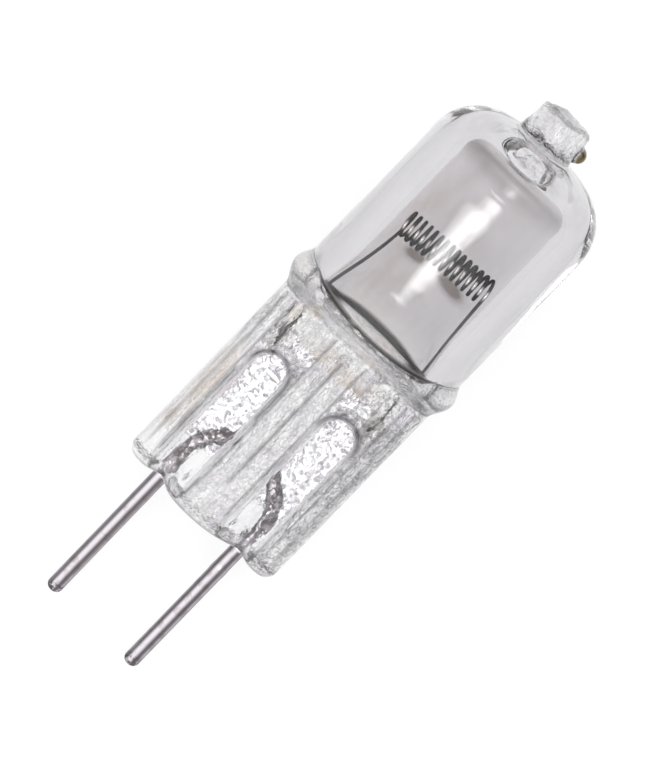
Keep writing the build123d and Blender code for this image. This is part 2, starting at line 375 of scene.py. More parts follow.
@dataclass(frozen=True)
class MetalFinish:
    """A bright metal with drawing marks along the lamp, small spots, tarnish where the mesh asks for it, and
    painted shade at slants and where the mesh's shade asks for it.

    Attributes:
        name: The material's name.
        bright: Colour of clean metal.
        dull: Colour of its spots.
        tarnish: Colour where the mesh's tarnish is full.
        smooth: Roughness of clean metal.
        rough: Roughness of its spots and tarnish.
        spots: Spots to the millimetre.
        relief: Depth of the marks in millimetres.
        draw: Factor on the marks along the lamp.
        edge_depth: How much painted shade darkens the metal where it is seen at a slant.
        edge: The slants at which that begins and is full.
        edge_tint: Colour of the painted shade there and where the mesh's shade is full.
        rim_tint: Factor on what it mirrors at the steepest slant.
        flecks: Breaks in the tarnish to the millimetre.
        fleck_floor: How much tarnish is left in a break.
        fleck_range: Values of the breaks' noise where one begins and ends.
        spot_range: Values of the spots' noise where one begins and is full.
        cloud_detail: How many finer layers the spots and breaks have.
        marks: Drawing marks to the millimetre.
        mark_detail: How many finer layers the marks have.
    """

    name: str
    bright: Colour
    dull: Colour
    tarnish: Colour
    smooth: float
    rough: float
    spots: float
    relief: float
    draw: float = 0.15
    edge_depth: float = 0.0
    edge: Pair = (0.12, 0.36)
    edge_tint: Colour = (0.02, 0.018, 0.017)
    rim_tint: Colour = (0.6, 0.6, 0.6)
    flecks: float = 3.0
    fleck_floor: float = 0.7
    fleck_range: Pair = (0.45, 0.55)
    spot_range: Pair = (0.5, 0.62)
    cloud_detail: float = 3.0
    marks: float = 9.0
    mark_detail: float = 2.0

    def material(self, lamp: LampFrame) -> bpy.types.Material:
        """Builds the material.

        Args:
            lamp: Where the lamp lies, for the patterns.

        Returns:
            The new material.
        """
        material, graph = new_material(self.name)
        space = lamp.pattern_space(graph)
        flecks = Cloud(self.flecks, self.cloud_detail, low=self.fleck_range[0], high=self.fleck_range[1])
        worn = graph.maths("MULTIPLY", graph.attribute("tarnish"), flecks.at(graph, space, self.fleck_floor))
        clouds = Cloud(self.spots, self.cloud_detail, low=self.spot_range[0], high=self.spot_range[1])
        spots = clouds.at(graph, space)
        marks = Cloud(self.marks, self.mark_detail, along=self.draw).noise(graph, space)
        tint = graph.blend(worn, graph.blend(spots, self.bright, self.dull), self.tarnish)
        # Painted shade: the metal darkens where it is seen at a slant and where the mesh's shade asks for it.
        slant = graph.add("ShaderNodeLayerWeight", {"Blend": 0.5}).outputs["Facing"]
        edge = graph.rise(slant, *self.edge, 0.0, self.edge_depth)
        tint = graph.blend(graph.maths("MAXIMUM", edge, graph.attribute("shade")), tint, self.edge_tint)
        rough = graph.rise(graph.maths("MAXIMUM", spots, worn), 0.0, 1.0, self.smooth, self.rough)
        relief = graph.add("ShaderNodeBump", {"Strength": 1.0, "Height": graph.maths("ADD", marks, spots),
                                              "Distance": self.relief * MILLIMETRE})
        metal = graph.add("ShaderNodeBsdfPrincipled", {
            "Base Color": tint, "Roughness": rough, "Metallic": 1.0, "Specular Tint": (*self.rim_tint, 1.0),
            "Normal": relief.outputs["Normal"]})
        graph.add("ShaderNodeOutputMaterial", {"Surface": metal.outputs["BSDF"]})
        return material


# Painted shade: the outside's quartz and the cavity's wall are tinted grey, standing in for the shaded table
# seen through the glass.
CLEAR_QUARTZ = QuartzFinish("clear_quartz", (0.68, 0.67, 0.69), (0.64, 0.63, 0.65))
# The seal's glass takes a near-black painted shade for the outline round the cavity's floor.
SEAL_QUARTZ = QuartzFinish("seal_quartz", (1.0, 1.0, 1.0), (0.96, 0.95, 0.95), scorch=(0.01, 0.01, 0.01))
SHADED_CAVITY_QUARTZ = QuartzFinish("used_quartz", (0.845, 0.825, 0.83), (0.76, 0.71, 0.685),
                           scorch=(0.10, 0.08, 0.065))
# The wire and the pins carry painted shade where they are seen at a slant.
DRAWN_TUNGSTEN = MetalFinish(
    "drawn_tungsten", bright=(0.94, 0.92, 0.91), dull=(0.55, 0.53, 0.52), tarnish=(0.02, 0.018, 0.017),
    smooth=0.14, rough=0.28, spots=3.0, relief=0.004, edge_depth=0.95, edge=(0.2, 0.7),
    rim_tint=(0.2, 0.2, 0.2))
ROLLED_MOLYBDENUM = MetalFinish(
    "rolled_molybdenum", bright=(0.80, 0.79, 0.81), dull=(0.40, 0.38, 0.40), tarnish=(0.30, 0.26, 0.24),
    smooth=0.16, rough=0.42, spots=4.3, relief=0.015, draw=0.6)
PIN_METAL = MetalFinish(
    "pin_metal", bright=(0.66, 0.63, 0.66), dull=(0.52, 0.48, 0.50), tarnish=(0.07, 0.045, 0.05),
    smooth=0.10, rough=0.22, spots=1.4, relief=0.002, edge_depth=0.4,
    edge_tint=(0.055, 0.042, 0.048), flecks=4.0, fleck_floor=0.05)


class NodeModel:
    """A geometry node tree with named inputs for its sizes, run once to give a plain mesh."""

    def __init__(self, name: str) -> None:
        """Starts a tree with its output only."""
        self.group = bpy.data.node_groups.new(name, "GeometryNodeTree")
        self.graph = Graph(self.group)
        self.group.interface.new_socket("Mesh", in_out="OUTPUT", socket_type="NodeSocketGeometry")
        self.entry = self.graph.add("NodeGroupInput")
        self.values: dict[str, object] = {}

    def size(self, name: str, kind: str, value: object) -> bpy.types.NodeSocket:
        """Adds a named input.

        Args:
            name: The input's name.
            kind: Its type, as in NodeSocketFloat without the first word.
            value: What the input is set to, or None for the mesh that comes in.

        Returns:
            The socket that gives the input inside the tree.
        """
        item = self.group.interface.new_socket(name, in_out="INPUT", socket_type=f"NodeSocket{kind}")
        if value is not None:
            self.values[item.identifier] = value
        return next(socket for socket in self.entry.outputs if socket.identifier == item.identifier)

    def sweep(self, curve: bpy.types.NodeSocket, radius: object, facets: int,
              material: bpy.types.Material, girth: object = 1.0) -> None:
        """Ends the tree with a round bar along a curve.

        Args:
            curve: The centre line.
            radius: The bar's radius.
            facets: Faces round the bar.
            material: Its finish.
            girth: Factor on the radius along the bar.
        """
        ring = self.graph.add("GeometryNodeCurvePrimitiveCircle", {"Resolution": facets, "Radius": radius})
        bar = self.graph.add("GeometryNodeCurveToMesh", {"Curve": curve, "Profile Curve": ring.outputs[0],
                                                         "Scale": girth, "Fill Caps": True})
        single = self.graph.add("GeometryNodeRealizeInstances", {0: bar.outputs[0]})
        finish = self.size("Finish", "Material", material)
        dressed = self.graph.add("GeometryNodeSetMaterial", {"Geometry": single.outputs[0],
                                                             "Material": finish})
        self.graph.add("NodeGroupOutput", {0: dressed.outputs[0]})

    def run(self, name: str, start: bpy.types.Mesh | None = None) -> bpy.types.Object:
        """Evaluates the tree once.

        Args:
            name: The new object's name.
            start: The mesh that the tree works on, if it needs one.

        Returns:
            An object with the result as a plain mesh, still in the upright lamp's millimetres.
        """
        piece = bpy.data.objects.new(name, start or bpy.data.meshes.new(name))
        bpy.context.scene.collection.objects.link(piece)
        modifier = piece.modifiers.new(self.group.name, "NODES")
        modifier.node_group = self.group
        for identifier, value in self.values.items():
            modifier[identifier] = value
        graph = bpy.context.evaluated_depsgraph_get()
        made = bpy.data.meshes.new_from_object(piece.evaluated_get(graph), preserve_all_data_layers=True,
                                               depsgraph=graph)
        piece.modifiers.clear()
        piece.data = made
        made.name = name
        made.polygons.foreach_set("use_smooth", np.ones(len(made.polygons), bool))
        return piece


def points_of(mesh: bpy.types.Mesh) -> np.ndarray:
    """A mesh's points as rows of three numbers."""
    flat = np.empty(len(mesh.vertices) * 3)
    mesh.vertices.foreach_get("co", flat)
    return flat.reshape(-1, 3)


def carry(mesh: bpy.types.Mesh, name: str, values: np.ndarray) -> None:
    """Gives each point of a mesh a value under a name."""
    layer = mesh.attributes.get(name) or mesh.attributes.new(name, "FLOAT", "POINT")
    layer.data.foreach_set("value", np.asarray(values, np.float32).ravel())


def seat_on_foil(mesh: bpy.types.Mesh, low: float, high: float) -> None:
    """Flattens the back of a bar between two heights, where it is welded to the front of a foil."""
    points = points_of(mesh)
    welded = (points[:, 2] > low) & (points[:, 2] < high)
    points[:, 1] = np.where(welded, np.minimum(points[:, 1], 0.0), points[:, 1])
    mesh.vertices.foreach_set("co", points.ravel())


def hand_over(piece: bpy.types.Object, node: str) -> bpy.types.Object:
    """Lets a finished piece stand for its solid."""
    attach(piece, "root")
    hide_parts(node)
    LOG.info("%s: %d faces stand for %s", piece.name, len(piece.data.polygons), node)
    return piece


def skin(rings: np.ndarray, first: np.ndarray, last: np.ndarray) -> tuple[np.ndarray, list[tuple[int, ...]]]:
    """Skins a stack of rings and closes both ends with a point.

    Args:
        rings: Points by ring, place on the ring and axis. Rings turn anticlockwise seen from the last one.
        first: The point that closes the first ring.
        last: The point that closes the last ring.

    Returns:
        The points and the faces, which point outwards.
    """
    count, around, _ = rings.shape
    points = np.vstack([rings.reshape(-1, 3), first, last])
    place = np.arange(around)
    after = (place + 1) % around
    faces: list[tuple[int, ...]] = []
    for ring in range(count - 1):
        low, high = ring * around, (ring + 1) * around
        faces += zip((low + place).tolist(), (low + after).tolist(), (high + after).tolist(),
                     (high + place).tolist())
    end = (count - 1) * around
    faces += [(count * around, int(b), int(a)) for a, b in zip(place, after)]
    faces += [(count * around + 1, int(end + a), int(end + b)) for a, b in zip(place, after)]
    return points, faces


@dataclass(frozen=True)
class Dish:
    """A flattened dome: a large crown that turns into a straight wall by a smaller knuckle.

    Attributes:
        radius: Radius of the wall.
        shoulder: Height where the wall ends.
        knuckle: Radius of the bend.
        crown: Radius of the crown.
    """

    radius: float
    shoulder: float
    knuckle: float
    crown: float

    @property
    def rise(self) -> float:
        """How far the dome stands above the end of the wall."""
        return self.crown - math.sqrt((self.crown - self.knuckle) ** 2 - (self.radius - self.knuckle) ** 2)

    @property
    def top(self) -> float:
        """Height of the middle of the crown."""
        return self.shoulder + self.rise

    @property
    def crown_edge(self) -> float:
        """Radius at which the crown meets the knuckle."""
        return self.crown * (self.radius - self.knuckle) / (self.crown - self.knuckle)

    def crown_height(self, reach: np.ndarray) -> np.ndarray:
        """Height of the crown at a distance from its axis."""
        return self.top - self.crown + np.sqrt(self.crown ** 2 - reach ** 2)

    def bend(self, count: int) -> list[tuple[float, float]]:
        """Radius and height of points on the knuckle, after the wall's end."""
        full = math.pi / 2 - math.asin((self.radius - self.knuckle) / (self.crown - self.knuckle))
        return [(self.radius - self.knuckle + self.knuckle * math.cos(full * step / count),
                 self.shoulder + self.knuckle * math.sin(full * step / count)) for step in range(1, count + 1)]


def spot(across: np.ndarray, along: np.ndarray, power: int = 2) -> np.ndarray:
    """A soft spot: 1 in its middle, fading at one unit from it, with a flatter top for a higher power."""
    return np.exp(-(across ** power) - along ** power)


def line_at(distance: np.ndarray, middle: float, half: float) -> np.ndarray:
    """A soft line: 1 at its middle, fading half its width from it."""
    return np.exp(-(((distance - middle) / half) ** 2))


@dataclass(frozen=True)
class Frost:
    """Where the glass was touched by the jaws or melted off, instead of blown.

    Attributes:
        past_neck: How far the frost reaches above the neck.
        side_reach: Distances from the axis at which the sides begin and are full.
        side_rise: How much higher the frost reaches at the sides.
        fade: The height over which it fades out.
        ear_loss: Share of it that is missing at the ears.
        stub: How much of it the melted stub has.
        stub_rise: The height over which it begins there.
    """

    past_neck: float = 0.1
    side_reach: Pair = (3.8, 5.0)
    side_rise: float = 0.8
    fade: float = 0.5
    ear_loss: float = 0.5
    stub: float = 0.6
    stub_rise: float = 0.3

    def beside(self, x: np.ndarray) -> np.ndarray:
        """How far out to the sides a point lies, from 0 to 1."""
        return smooth_step(*self.side_reach, np.abs(x))


@dataclass(frozen=True)
class Crumple:
    """The crumpled surface of the neck above the jaws.

    Attributes:
        waves: Its waves.
        face_shift: How far the waves of the two faces are apart.
        run: Factors on the depth and the height that the waves run along.
        depth: How deep it is on the pinch, and how much deeper on the neck.
        rise: Where it deepens, from the start of the neck.
        width: Distances from the axis over which it ends.
        start: How far below the neck it begins.
    """

    waves: Ripple = Ripple(seed=37, wavelength=0.9)
    face_shift: float = 3.0
    run: Pair = (0.8, 1.3)
    depth: Pair = (0.02, 0.04)
    rise: Pair = (-0.4, 0.2)
    width: Pair = (3.6, 4.8)
    start: float = 1.5


@dataclass(frozen=True)
class Rumple:
    """Where the pressed glass is full of fine lines.

    Attributes:
        middle: Amount along the middle rail.
        middle_reach: Half the width of that rail.
        left: Amount on the left rail.
        right: Amount on the right rail.
        panel_calm: Share of it that is missing in the panels.
        weld_spot: Where the filament's welds disturb it, across and along the lamp.
        weld_size: Half the width and height of such a spot.
        weld: Amount at the welds.
        above: Amount above the panels.
        above_rise: The height over which that begins.
        above_clear: Half the width of the clear strip between the two sides.
        ear_width: Distances from the axis over which the ears become calm.
        ear_rise: Heights over which they do, from the start of the neck.
        stub: Amount on the crown around the stub.
        crown_spot: Middle and half the width of that patch.
        crown_rise: Heights over which it begins, from the top of the dome.
    """

    middle: float = 0.7
    middle_reach: float = 2.0
    left: float = 0.12
    right: float = 1.15
    panel_calm: float = 0.9
    weld_spot: Pair = (3.9, 11.4)
    weld_size: Pair = (0.6, 1.1)
    weld: float = 1.4
    above: float = 0.8
    above_rise: float = 0.4
    above_clear: float = 1.2
    ear_width: Pair = (3.8, 4.8)
    ear_rise: Pair = (-0.2, 0.3)
    stub: float = 0.6
    crown_spot: Pair = (0.2, 2.0)
    crown_rise: Pair = (-1.5, -0.6)


@dataclass(frozen=True)
class Score:
    """A dark line of painted shade along the front face.

    Attributes:
        place: Where it is across the lamp.
        low: Height of its lower end.
        high: Height of its upper end.
        half: Half its width.
        depth: How dark it is, up to 1.
    """

    place: float
    low: float
    high: float
    half: float
    depth: float


@dataclass(frozen=True)
class Crease:
    """Painted shade: dark lines along the panels' edges, the rails, the seam and the lower edge, and single
    lines on the front face.

    Attributes:
        arch: Inset and half the width of the line round a panel's head.
        arch_heights: Heights over which that line begins.
        flank: Inset and half the width of the fainter line down a panel's flanks.
        flank_depth: How dark the flanks' line is, up to 1.
        scores: Single lines of painted shade on the front face.
        score_run: The height over which such a line begins and ends.
        start: Heights over which the lines begin above the lower edge.
        hem: Height and half the width of the line along the lower edge.
        hem_depth: How dark that line is.
        hem_reach: Height up to which the lower edge counts as flat.
        rail_depth: How dark the lines along the rails are.
        seam_depth: How dark the seam is.
    """

    arch: Pair = (0.16, 0.24)
    arch_heights: Pair = (8.4, 9.8)
    flank: Pair = (0.1, 0.14)
    flank_depth: float = 0.4
    scores: tuple[Score, ...] = (
        Score(-1.42, 6.4, 9.9, half=0.17, depth=0.95), Score(-4.36, 1.4, 8.6, half=0.13, depth=0.95),
        Score(-1.4, 0.3, 2.4, half=0.1, depth=0.9), Score(5.3, 1.2, 12.8, half=0.12, depth=0.7),
        Score(4.5, 2.0, 6.0, half=0.1, depth=0.5), Score(-0.1, 2.6, 8.0, half=0.1, depth=0.6))
    score_run: float = 0.5
    start: Pair = (0.2, 0.8)
    hem: Pair = (0.14, 0.13)
    hem_depth: float = 0.8
    hem_reach: float = 0.6
    rail_depth: float = 0.8
    seam_depth: float = 0.9


@dataclass(frozen=True)
class Milk:
    """How milky the pressed glass is.

    Attributes:
        flat: Amount on the flat faces.
        shoulder: Amount on the shoulder below the bulb.
        ear: Amount at the ears.
        right_ear: Factor on it at the right ear.
        rise: Where the shoulder begins, from the start of the neck.
        fall: Where it ends, from the end of the neck.
        back: Depths over which the back becomes clear.
        end: The height over which all milk ends above the neck.
    """

    flat: float = 0.05
    shoulder: float = 0.5
    ear: float = 0.22
    right_ear: float = 0.4
    rise: Pair = (-0.5, 0.1)
    fall: Pair = (-0.5, 0.2)
    back: Pair = (0.0, 1.5)
    end: float = 0.4


@dataclass(frozen=True)
class Patch:
    """A soft patch on the glass: its middle across the lamp and its height, with half its width and height."""

    middle: float
    height: float
    wide: float
    tall: float

    def at(self, x: np.ndarray, z: np.ndarray, power: int) -> np.ndarray:
        """How strong the patch is at points, from 0 to 1."""
        return spot((x - self.middle) / self.wide, (z - self.height) / self.tall, power)


@dataclass
class Envelope:
    """The quartz body in one piece: pressed pinch, neck, round bulb, dome and exhaust stub, with its cavity.

    A pair says where something begins and where it is full. The three heights of the band of painted light on
    the bulb's front say where it begins, starts to fade and ends. Fields that end in rings or points are mesh
    densities.
    """

    bulb_radius: float = 5.9
    pinch_half_width: float = 5.78
    pinch_half_depth: float = 2.25
    squareness: float = 7.0
    neck_start: float = 13.8
    neck_end: float = 15.6
    ear_height: float = 15.2
    ear_bulge: float = 0.48
    ear_span: float = 1.3
    edge_radius: float = 0.8
    lobe_drop: float = 0.3
    lobe_middle: float = -0.5
    lobe_reach: float = 2.6
    relief_height: float = 0.35
    relief_reach: float = 0.75
    edge_fade: float = 2.2
    panel_middle: float = 2.8
    panel_half_width: float = 1.5
    panel_top: float = 10.85
    panel_depth: float = 0.5
    panel_flank: float = 0.42
    rail_lines: tuple[float, ...] = (1.22, 4.52, 5.2)
    rail_line_half_width: float = 0.16
    rail_line_depth: float = 0.09
    seam_half_width: float = 0.2
    seam_depth: float = 0.12
    seam_low: float = 2.6
    seam_high: float = 13.2
    pin_middle: float = 3.175
    cone_reach: float = 0.86
    cone_width: float = 0.4
    cone_depth: float = 0.6
    stub_offset: float = -0.4
    stub_base: float = 1.82
    stub_flare: float = 0.35
    stub_flare_rise: float = 0.45
    stub_slope: float = 0.1
    stub_hollow: float = 0.16
    bead_rise: float = 0.95
    bead_radius: float = 0.54
    cavity_floor: float = 15.4
    cavity_sag: float = 0.3
    cavity_flare: float = 0.4
    cavity_flare_rise: float = 3.2
    cavity_crease: float = 0.22
    mouth_radius: float = 0.85
    mouth_point: float = 0.25
    mouth_depth: float = 0.6
    around: int = 400
    cavity_around: int = 128
    dome: Dish = Dish(radius=5.9, shoulder=26.7, knuckle=3.2, crown=14.0)
    vault: Dish = Dish(radius=3.75, shoulder=26.8, knuckle=1.45, crown=9.0)
    stub: Dish = Dish(radius=1.7, shoulder=31.98, knuckle=0.4, crown=8.0)
    press_waves: Ripple = Ripple(seed=11, wavelength=1.3, stretch=2.2)
    panel_waves: Ripple = Ripple(seed=23, wavelength=0.7, stretch=1.2)
    stub_waves: Ripple = Ripple(seed=31, wavelength=1.5)
    bulb_waves: Ripple = Ripple(seed=43, wavelength=4.5, stretch=2.5)
    bulb_sway: float = 0.008
    # Painted light: a lighter band on the bulb's front.
    clean_heights: tuple[float, float, float] = (15.0, 17.0, 18.4)
    clean_width: Pair = (2.2, 3.6)
    clean_depth: float = 0.8
    face_share: Pair = (0.8, 0.92)
    panel_mouth: Pair = (-0.2, 0.9)
    rail_line_start: Pair = (0.8, 2.5)
    seam_run_in: float = 0.6
    seam_run_out: float = 0.4
    press_wave_depth: float = 0.028
    press_wave_start: Pair = (0.3, 1.5)
    press_wave_shift: float = 7.0
    panel_wave_depth: float = 0.015
    panel_wave_shift: float = 5.0
    stub_settle: float = 0.35
    stub_wave_pace: float = 1.2
    stub_wave_swell: float = 0.016
    stub_wave_lift: float = 0.03
    scorch_swell: float = 0.45
    tan_stains: tuple[Patch, ...] = (
        Patch(0.3, 12.3, 2.7, 0.42), Patch(-5.0, 6.8, 0.45, 2.4), Patch(-5.2, 3.2, 0.4, 0.8),
        Patch(1.2, 14.3, 1.0, 0.4), Patch(-3.4, 14.2, 0.6, 0.5), Patch(-4.0, 13.0, 0.5, 0.5))
    # Painted shadow of the coil on the cavity's back wall, and painted shade at the dome's knuckle.
    soot_patches: tuple[Patch, ...] = (Patch(-1.5, 19.7, 0.8, 0.34), Patch(1.6, 19.75, 1.1, 0.4))
    soot_depth: float = 1.9
    soot_corner_rise: float = 0.6
    soot_corner_half: float = 0.45
    soot_corner_depth: float = 0.5
    soot_corner_lean: float = 0.05
    # Painted shade: a dark, milky outline round the cavity's floor and at its sides.
    seal_rise: float = 0.9
    seal_rim_rise: float = 1.4
    seal_rim: Pair = (0.85, 0.94)
    seal_sides: Pair = (2.4, 3.3)
    seal_milk: float = 0.95
    mouth_frost: float = 0.1
    mouth_cap: float = 0.03
    mouth_taper: float = 1.5
    haze_end: Pair = (-1.5, 3.0)
    frost: Frost = Frost()
    crumple: Crumple = Crumple()
    rumple: Rumple = Rumple()
    crease: Crease = Crease()
    milk: Milk = Milk()
    trace_points: int = 4001
    ring_step: float = 0.125
    face_rings: int = 36
    face_start: float = 0.03
    bend_rings: int = 8
    neck_rings: int = 34
    wall_rings: int = 6
    knuckle_rings: int = 16
    crown_rings: int = 7
    stub_wall_rings: int = 28
    floor_rings: int = 12
    floor_start: float = 0.08
    flare_rings: int = 17
    vault_wall_rings: int = 47
    vault_knuckle_rings: int = 12

    @property
    def neck_top(self) -> float:
        """Height where the glass is round and the ears have ended."""
        return max(self.neck_end, self.ear_height + self.ear_span)

    def turned(self, height: float) -> float:
        """How far the neck has turned from flat to round at a height."""
        return float(smooth_step(self.neck_start, self.neck_end, np.array(height)))

    def outline(self, wide: float, deep: float, power: float) -> np.ndarray:
        """A rounded cross-section with its points evenly spaced.

        Args:
            wide: Half its width.
            deep: Half its depth.
            power: 2 for an ellipse, more for a squarer one.

        Returns:
            Points across and through the lamp.
        """
        turn = np.linspace(0.0, 2.0 * math.pi, self.trace_points)
        across = wide * np.sign(np.cos(turn)) * np.abs(np.cos(turn)) ** (2.0 / power)
        through = deep * np.sign(np.sin(turn)) * np.abs(np.sin(turn)) ** (2.0 / power)
        run = np.concatenate([[0.0], np.cumsum(np.hypot(np.diff(across), np.diff(through)))])
        wanted = np.arange(self.around) / self.around * run[-1]
        return np.column_stack([np.interp(wanted, run, across), np.interp(wanted, run, through)])

    def section(self, height: float, inset: float = 0.0) -> np.ndarray:
        """The cross-section of pinch or neck at a height, drawn in by an inset."""
        turned = self.turned(height)
        power = 1.0 / (1.0 / self.squareness + (0.5 - 1.0 / self.squareness) * turned)
        wide = self.pinch_half_width + (self.bulb_radius - self.pinch_half_width) * turned
        reach = (height - self.ear_height) / self.ear_span
        if abs(reach) < 1.0:
            wide += self.ear_bulge * (1.0 + math.cos(math.pi * reach)) / 2.0
        return self.outline(wide - inset, self.half_depth(height) - inset, power)

    def half_depth(self, height: float) -> float:
        """Half the front-to-back depth of the glass below the dome."""
        return self.pinch_half_depth + (self.bulb_radius - self.pinch_half_depth) * self.turned(height)

    def lower_edge(self, across: np.ndarray) -> np.ndarray:
        """How far the lower edge of the pinch stands above or below its mean, across its width."""
        lobe = np.clip(1.0 - ((across - self.lobe_middle) / self.lobe_reach) ** 2, 0.0, 1.0)
        relief = np.exp(-(((np.abs(across) - self.pin_middle) / self.relief_reach) ** 2))
        return self.relief_height * relief - self.lobe_drop * lobe

    def at_height(self, flat: np.ndarray, height: float) -> np.ndarray:
        """A ring of the pinch at a height, following the wavy lower edge near the bottom."""
        lift = self.lower_edge(flat[:, 0]) * (1.0 - smooth_step(0.0, self.edge_fade, np.array(height)))
        return np.column_stack([flat, height + lift])

    def pinch_rings(self) -> list[np.ndarray]:
        """Rings from the middle of the lower face, round its edge and up to the neck."""
        rings = []
        base = self.section(0.0, self.edge_radius)
        for share in np.linspace(self.face_start, 1.0, self.face_rings):
            ring = self.at_height(base * share, 0.0)
            away = np.hypot(np.abs(ring[:, 0]) - self.pin_middle, ring[:, 1])
            ring[:, 2] += self.cone_depth * np.clip((self.cone_reach - away) / self.cone_width, 0.0, 1.0)
            rings.append(ring)
        for bend in np.linspace(0.0, math.pi / 2, self.bend_rings + 1)[1:]:
            flat = self.section(0.0, self.edge_radius * (1.0 - math.sin(bend)))
            rings.append(self.at_height(flat, self.edge_radius * (1.0 - math.cos(bend))))
        for height in np.arange(self.edge_radius + self.ring_step, self.neck_start, self.ring_step):
            rings.append(self.at_height(self.section(height), height))
        return rings

    def bulb_rings(self) -> list[np.ndarray]:
        """Rings up the neck, the tube and the dome to the foot of the stub."""
        rings = [self.at_height(self.section(height), height)
                 for height in np.linspace(self.neck_start, self.neck_top, self.neck_rings)]
        turn = 2.0 * math.pi * np.arange(self.around) / self.around
        circle = np.column_stack([np.cos(turn), np.sin(turn)])
        heights = np.linspace(self.neck_top, self.dome.shoulder, self.wall_rings + 1)[1:]
        wall = [(self.bulb_radius, height) for height in heights]
        for radius, height in wall + self.dome.bend(self.knuckle_rings):
            rings.append(np.column_stack([circle * radius, np.full(self.around, height)]))
        foot = self.stub_base + self.stub_flare
        for share in np.linspace(0.0, 1.0, self.crown_rings + 1)[1:]:
            flat = circle * (self.dome.crown_edge + (foot - self.dome.crown_edge) * share)
            flat[:, 0] += self.stub_offset * share
            rings.append(np.column_stack([flat, self.dome.crown_height(np.hypot(*flat.T))]))
        return rings

    def stub_rings(self, foot: np.ndarray) -> list[np.ndarray]:
        """Rings of the exhaust stub, melted off unevenly.

        Args:
            foot: The ring on the dome that the stub grows from.

        Returns:
            The rings above the foot.
        """
        turn = 2.0 * math.pi * np.arange(self.around) / self.around
        steps = []
        for bend in np.linspace(0.0, math.pi / 2, self.bend_rings + 1)[1:]:
            steps.append((self.stub_base + self.stub_flare * (1.0 - math.sin(bend)),
                          self.dome.top + self.stub_flare_rise * (1.0 - math.cos(bend))))
        low = steps[-1][1]
        straight = self.stub.shoulder - low
        steps += [(self.stub_base + (self.stub.radius - self.stub_base) * share, low + straight * share)
                  for share in np.linspace(0.0, 1.0, self.stub_wall_rings + 1)[1:]]
        steps += self.stub.bend(self.bend_rings)
        rim = self.stub.crown_edge
        steps += [(reach, self.stub.top - self.stub_hollow * (1.0 - (reach / rim) ** 2))
                  for reach in np.linspace(rim, 0.0, self.crown_rings + 2)[1:-1]]
        rings = []
        for radius, height in steps:
            rise = max(0.0, height - self.dome.top) / (self.stub.top - self.dome.top)
            settle = smooth_step(0.0, self.stub_settle, np.array(rise))
            x = radius * np.cos(turn)
            y = radius * np.sin(turn)
            wave = self.stub_waves.at(x * self.stub_wave_pace + height, y * self.stub_wave_pace)
            grow = 1.0 + self.stub_wave_swell * settle * wave
            tilt = self.stub_slope * x / self.stub.radius + self.stub_wave_lift * rise * wave
            level = height + (1.0 - settle) * (foot[:, 2] - self.dome.top) + settle * tilt
            rings.append(np.column_stack([x * grow + self.stub_offset, y * grow, level]))
        return rings

    def frosted(self, x: np.ndarray, z: np.ndarray) -> np.ndarray:
        """How much the jaws or the flame left of their touch at points of the outside, from 0 to 1."""
        frost = self.frost
        end = self.neck_end + frost.past_neck + frost.side_rise * frost.beside(x)
        pressed = 1.0 - smooth_step(-frost.fade, 0.0, z - end)
        pressed *= 1.0 - frost.ear_loss * smooth_step(self.neck_start, self.neck_end, z) * frost.beside(x)
        melted = frost.stub * smooth_step(self.dome.top, self.dome.top + frost.stub_rise, z)
        return np.maximum(pressed, melted)

    def press_lines(self, x: np.ndarray, z: np.ndarray) -> np.ndarray:
        """How deep points lie in the lines along the rails, from 0 to 1."""
        lines = sum(np.clip(1.0 - np.abs(np.abs(x) - line) / self.rail_line_half_width, 0.0, 1.0)
                    for line in self.rail_lines)
        return lines * smooth_step(*self.rail_line_start, z)

    def seam(self, x: np.ndarray, z: np.ndarray) -> np.ndarray:
        """How deep points lie in the seam down the middle, from 0 to 1."""
        groove = np.clip(1.0 - np.abs(x) / self.seam_half_width, 0.0, 1.0)
        groove *= smooth_step(self.seam_low, self.seam_low + self.seam_run_in, z)
        groove *= 1.0 - smooth_step(self.seam_high - self.seam_run_out, self.seam_high, z)
        return groove

    def buckle(self, points: np.ndarray, face: np.ndarray, pressed: np.ndarray) -> None:
        """Crumples the neck and lets the bulb's wall sway a little.

        Args:
            points: Points of the outside, which are moved.
            face: -1 for points of the front, 1 for points of the back.
            pressed: How much the jaws pressed them.
        """
        x, y, z = points.T
        crumple = self.crumple
        through, along = crumple.run
        shift = crumple.waves.at(x + crumple.face_shift * face, along * z + through * y) * pressed
        low, high = crumple.rise
        shallow, deeper = crumple.depth
        shift *= shallow + deeper * smooth_step(self.neck_start + low, self.neck_start + high, z)
        shift *= 1.0 - smooth_step(*crumple.width, np.abs(x))
        shift *= smooth_step(self.neck_start - crumple.start, self.neck_start, z) * (z < self.dome.shoulder)
        points[:, :2] *= (1.0 - shift / self.bulb_radius)[:, None]
        sway = self.bulb_waves.at(np.arctan2(y, x) * self.bulb_radius, z)
        points[:, :2] *= (1.0 + self.bulb_sway * sway * (1.0 - pressed) / self.bulb_radius)[:, None]

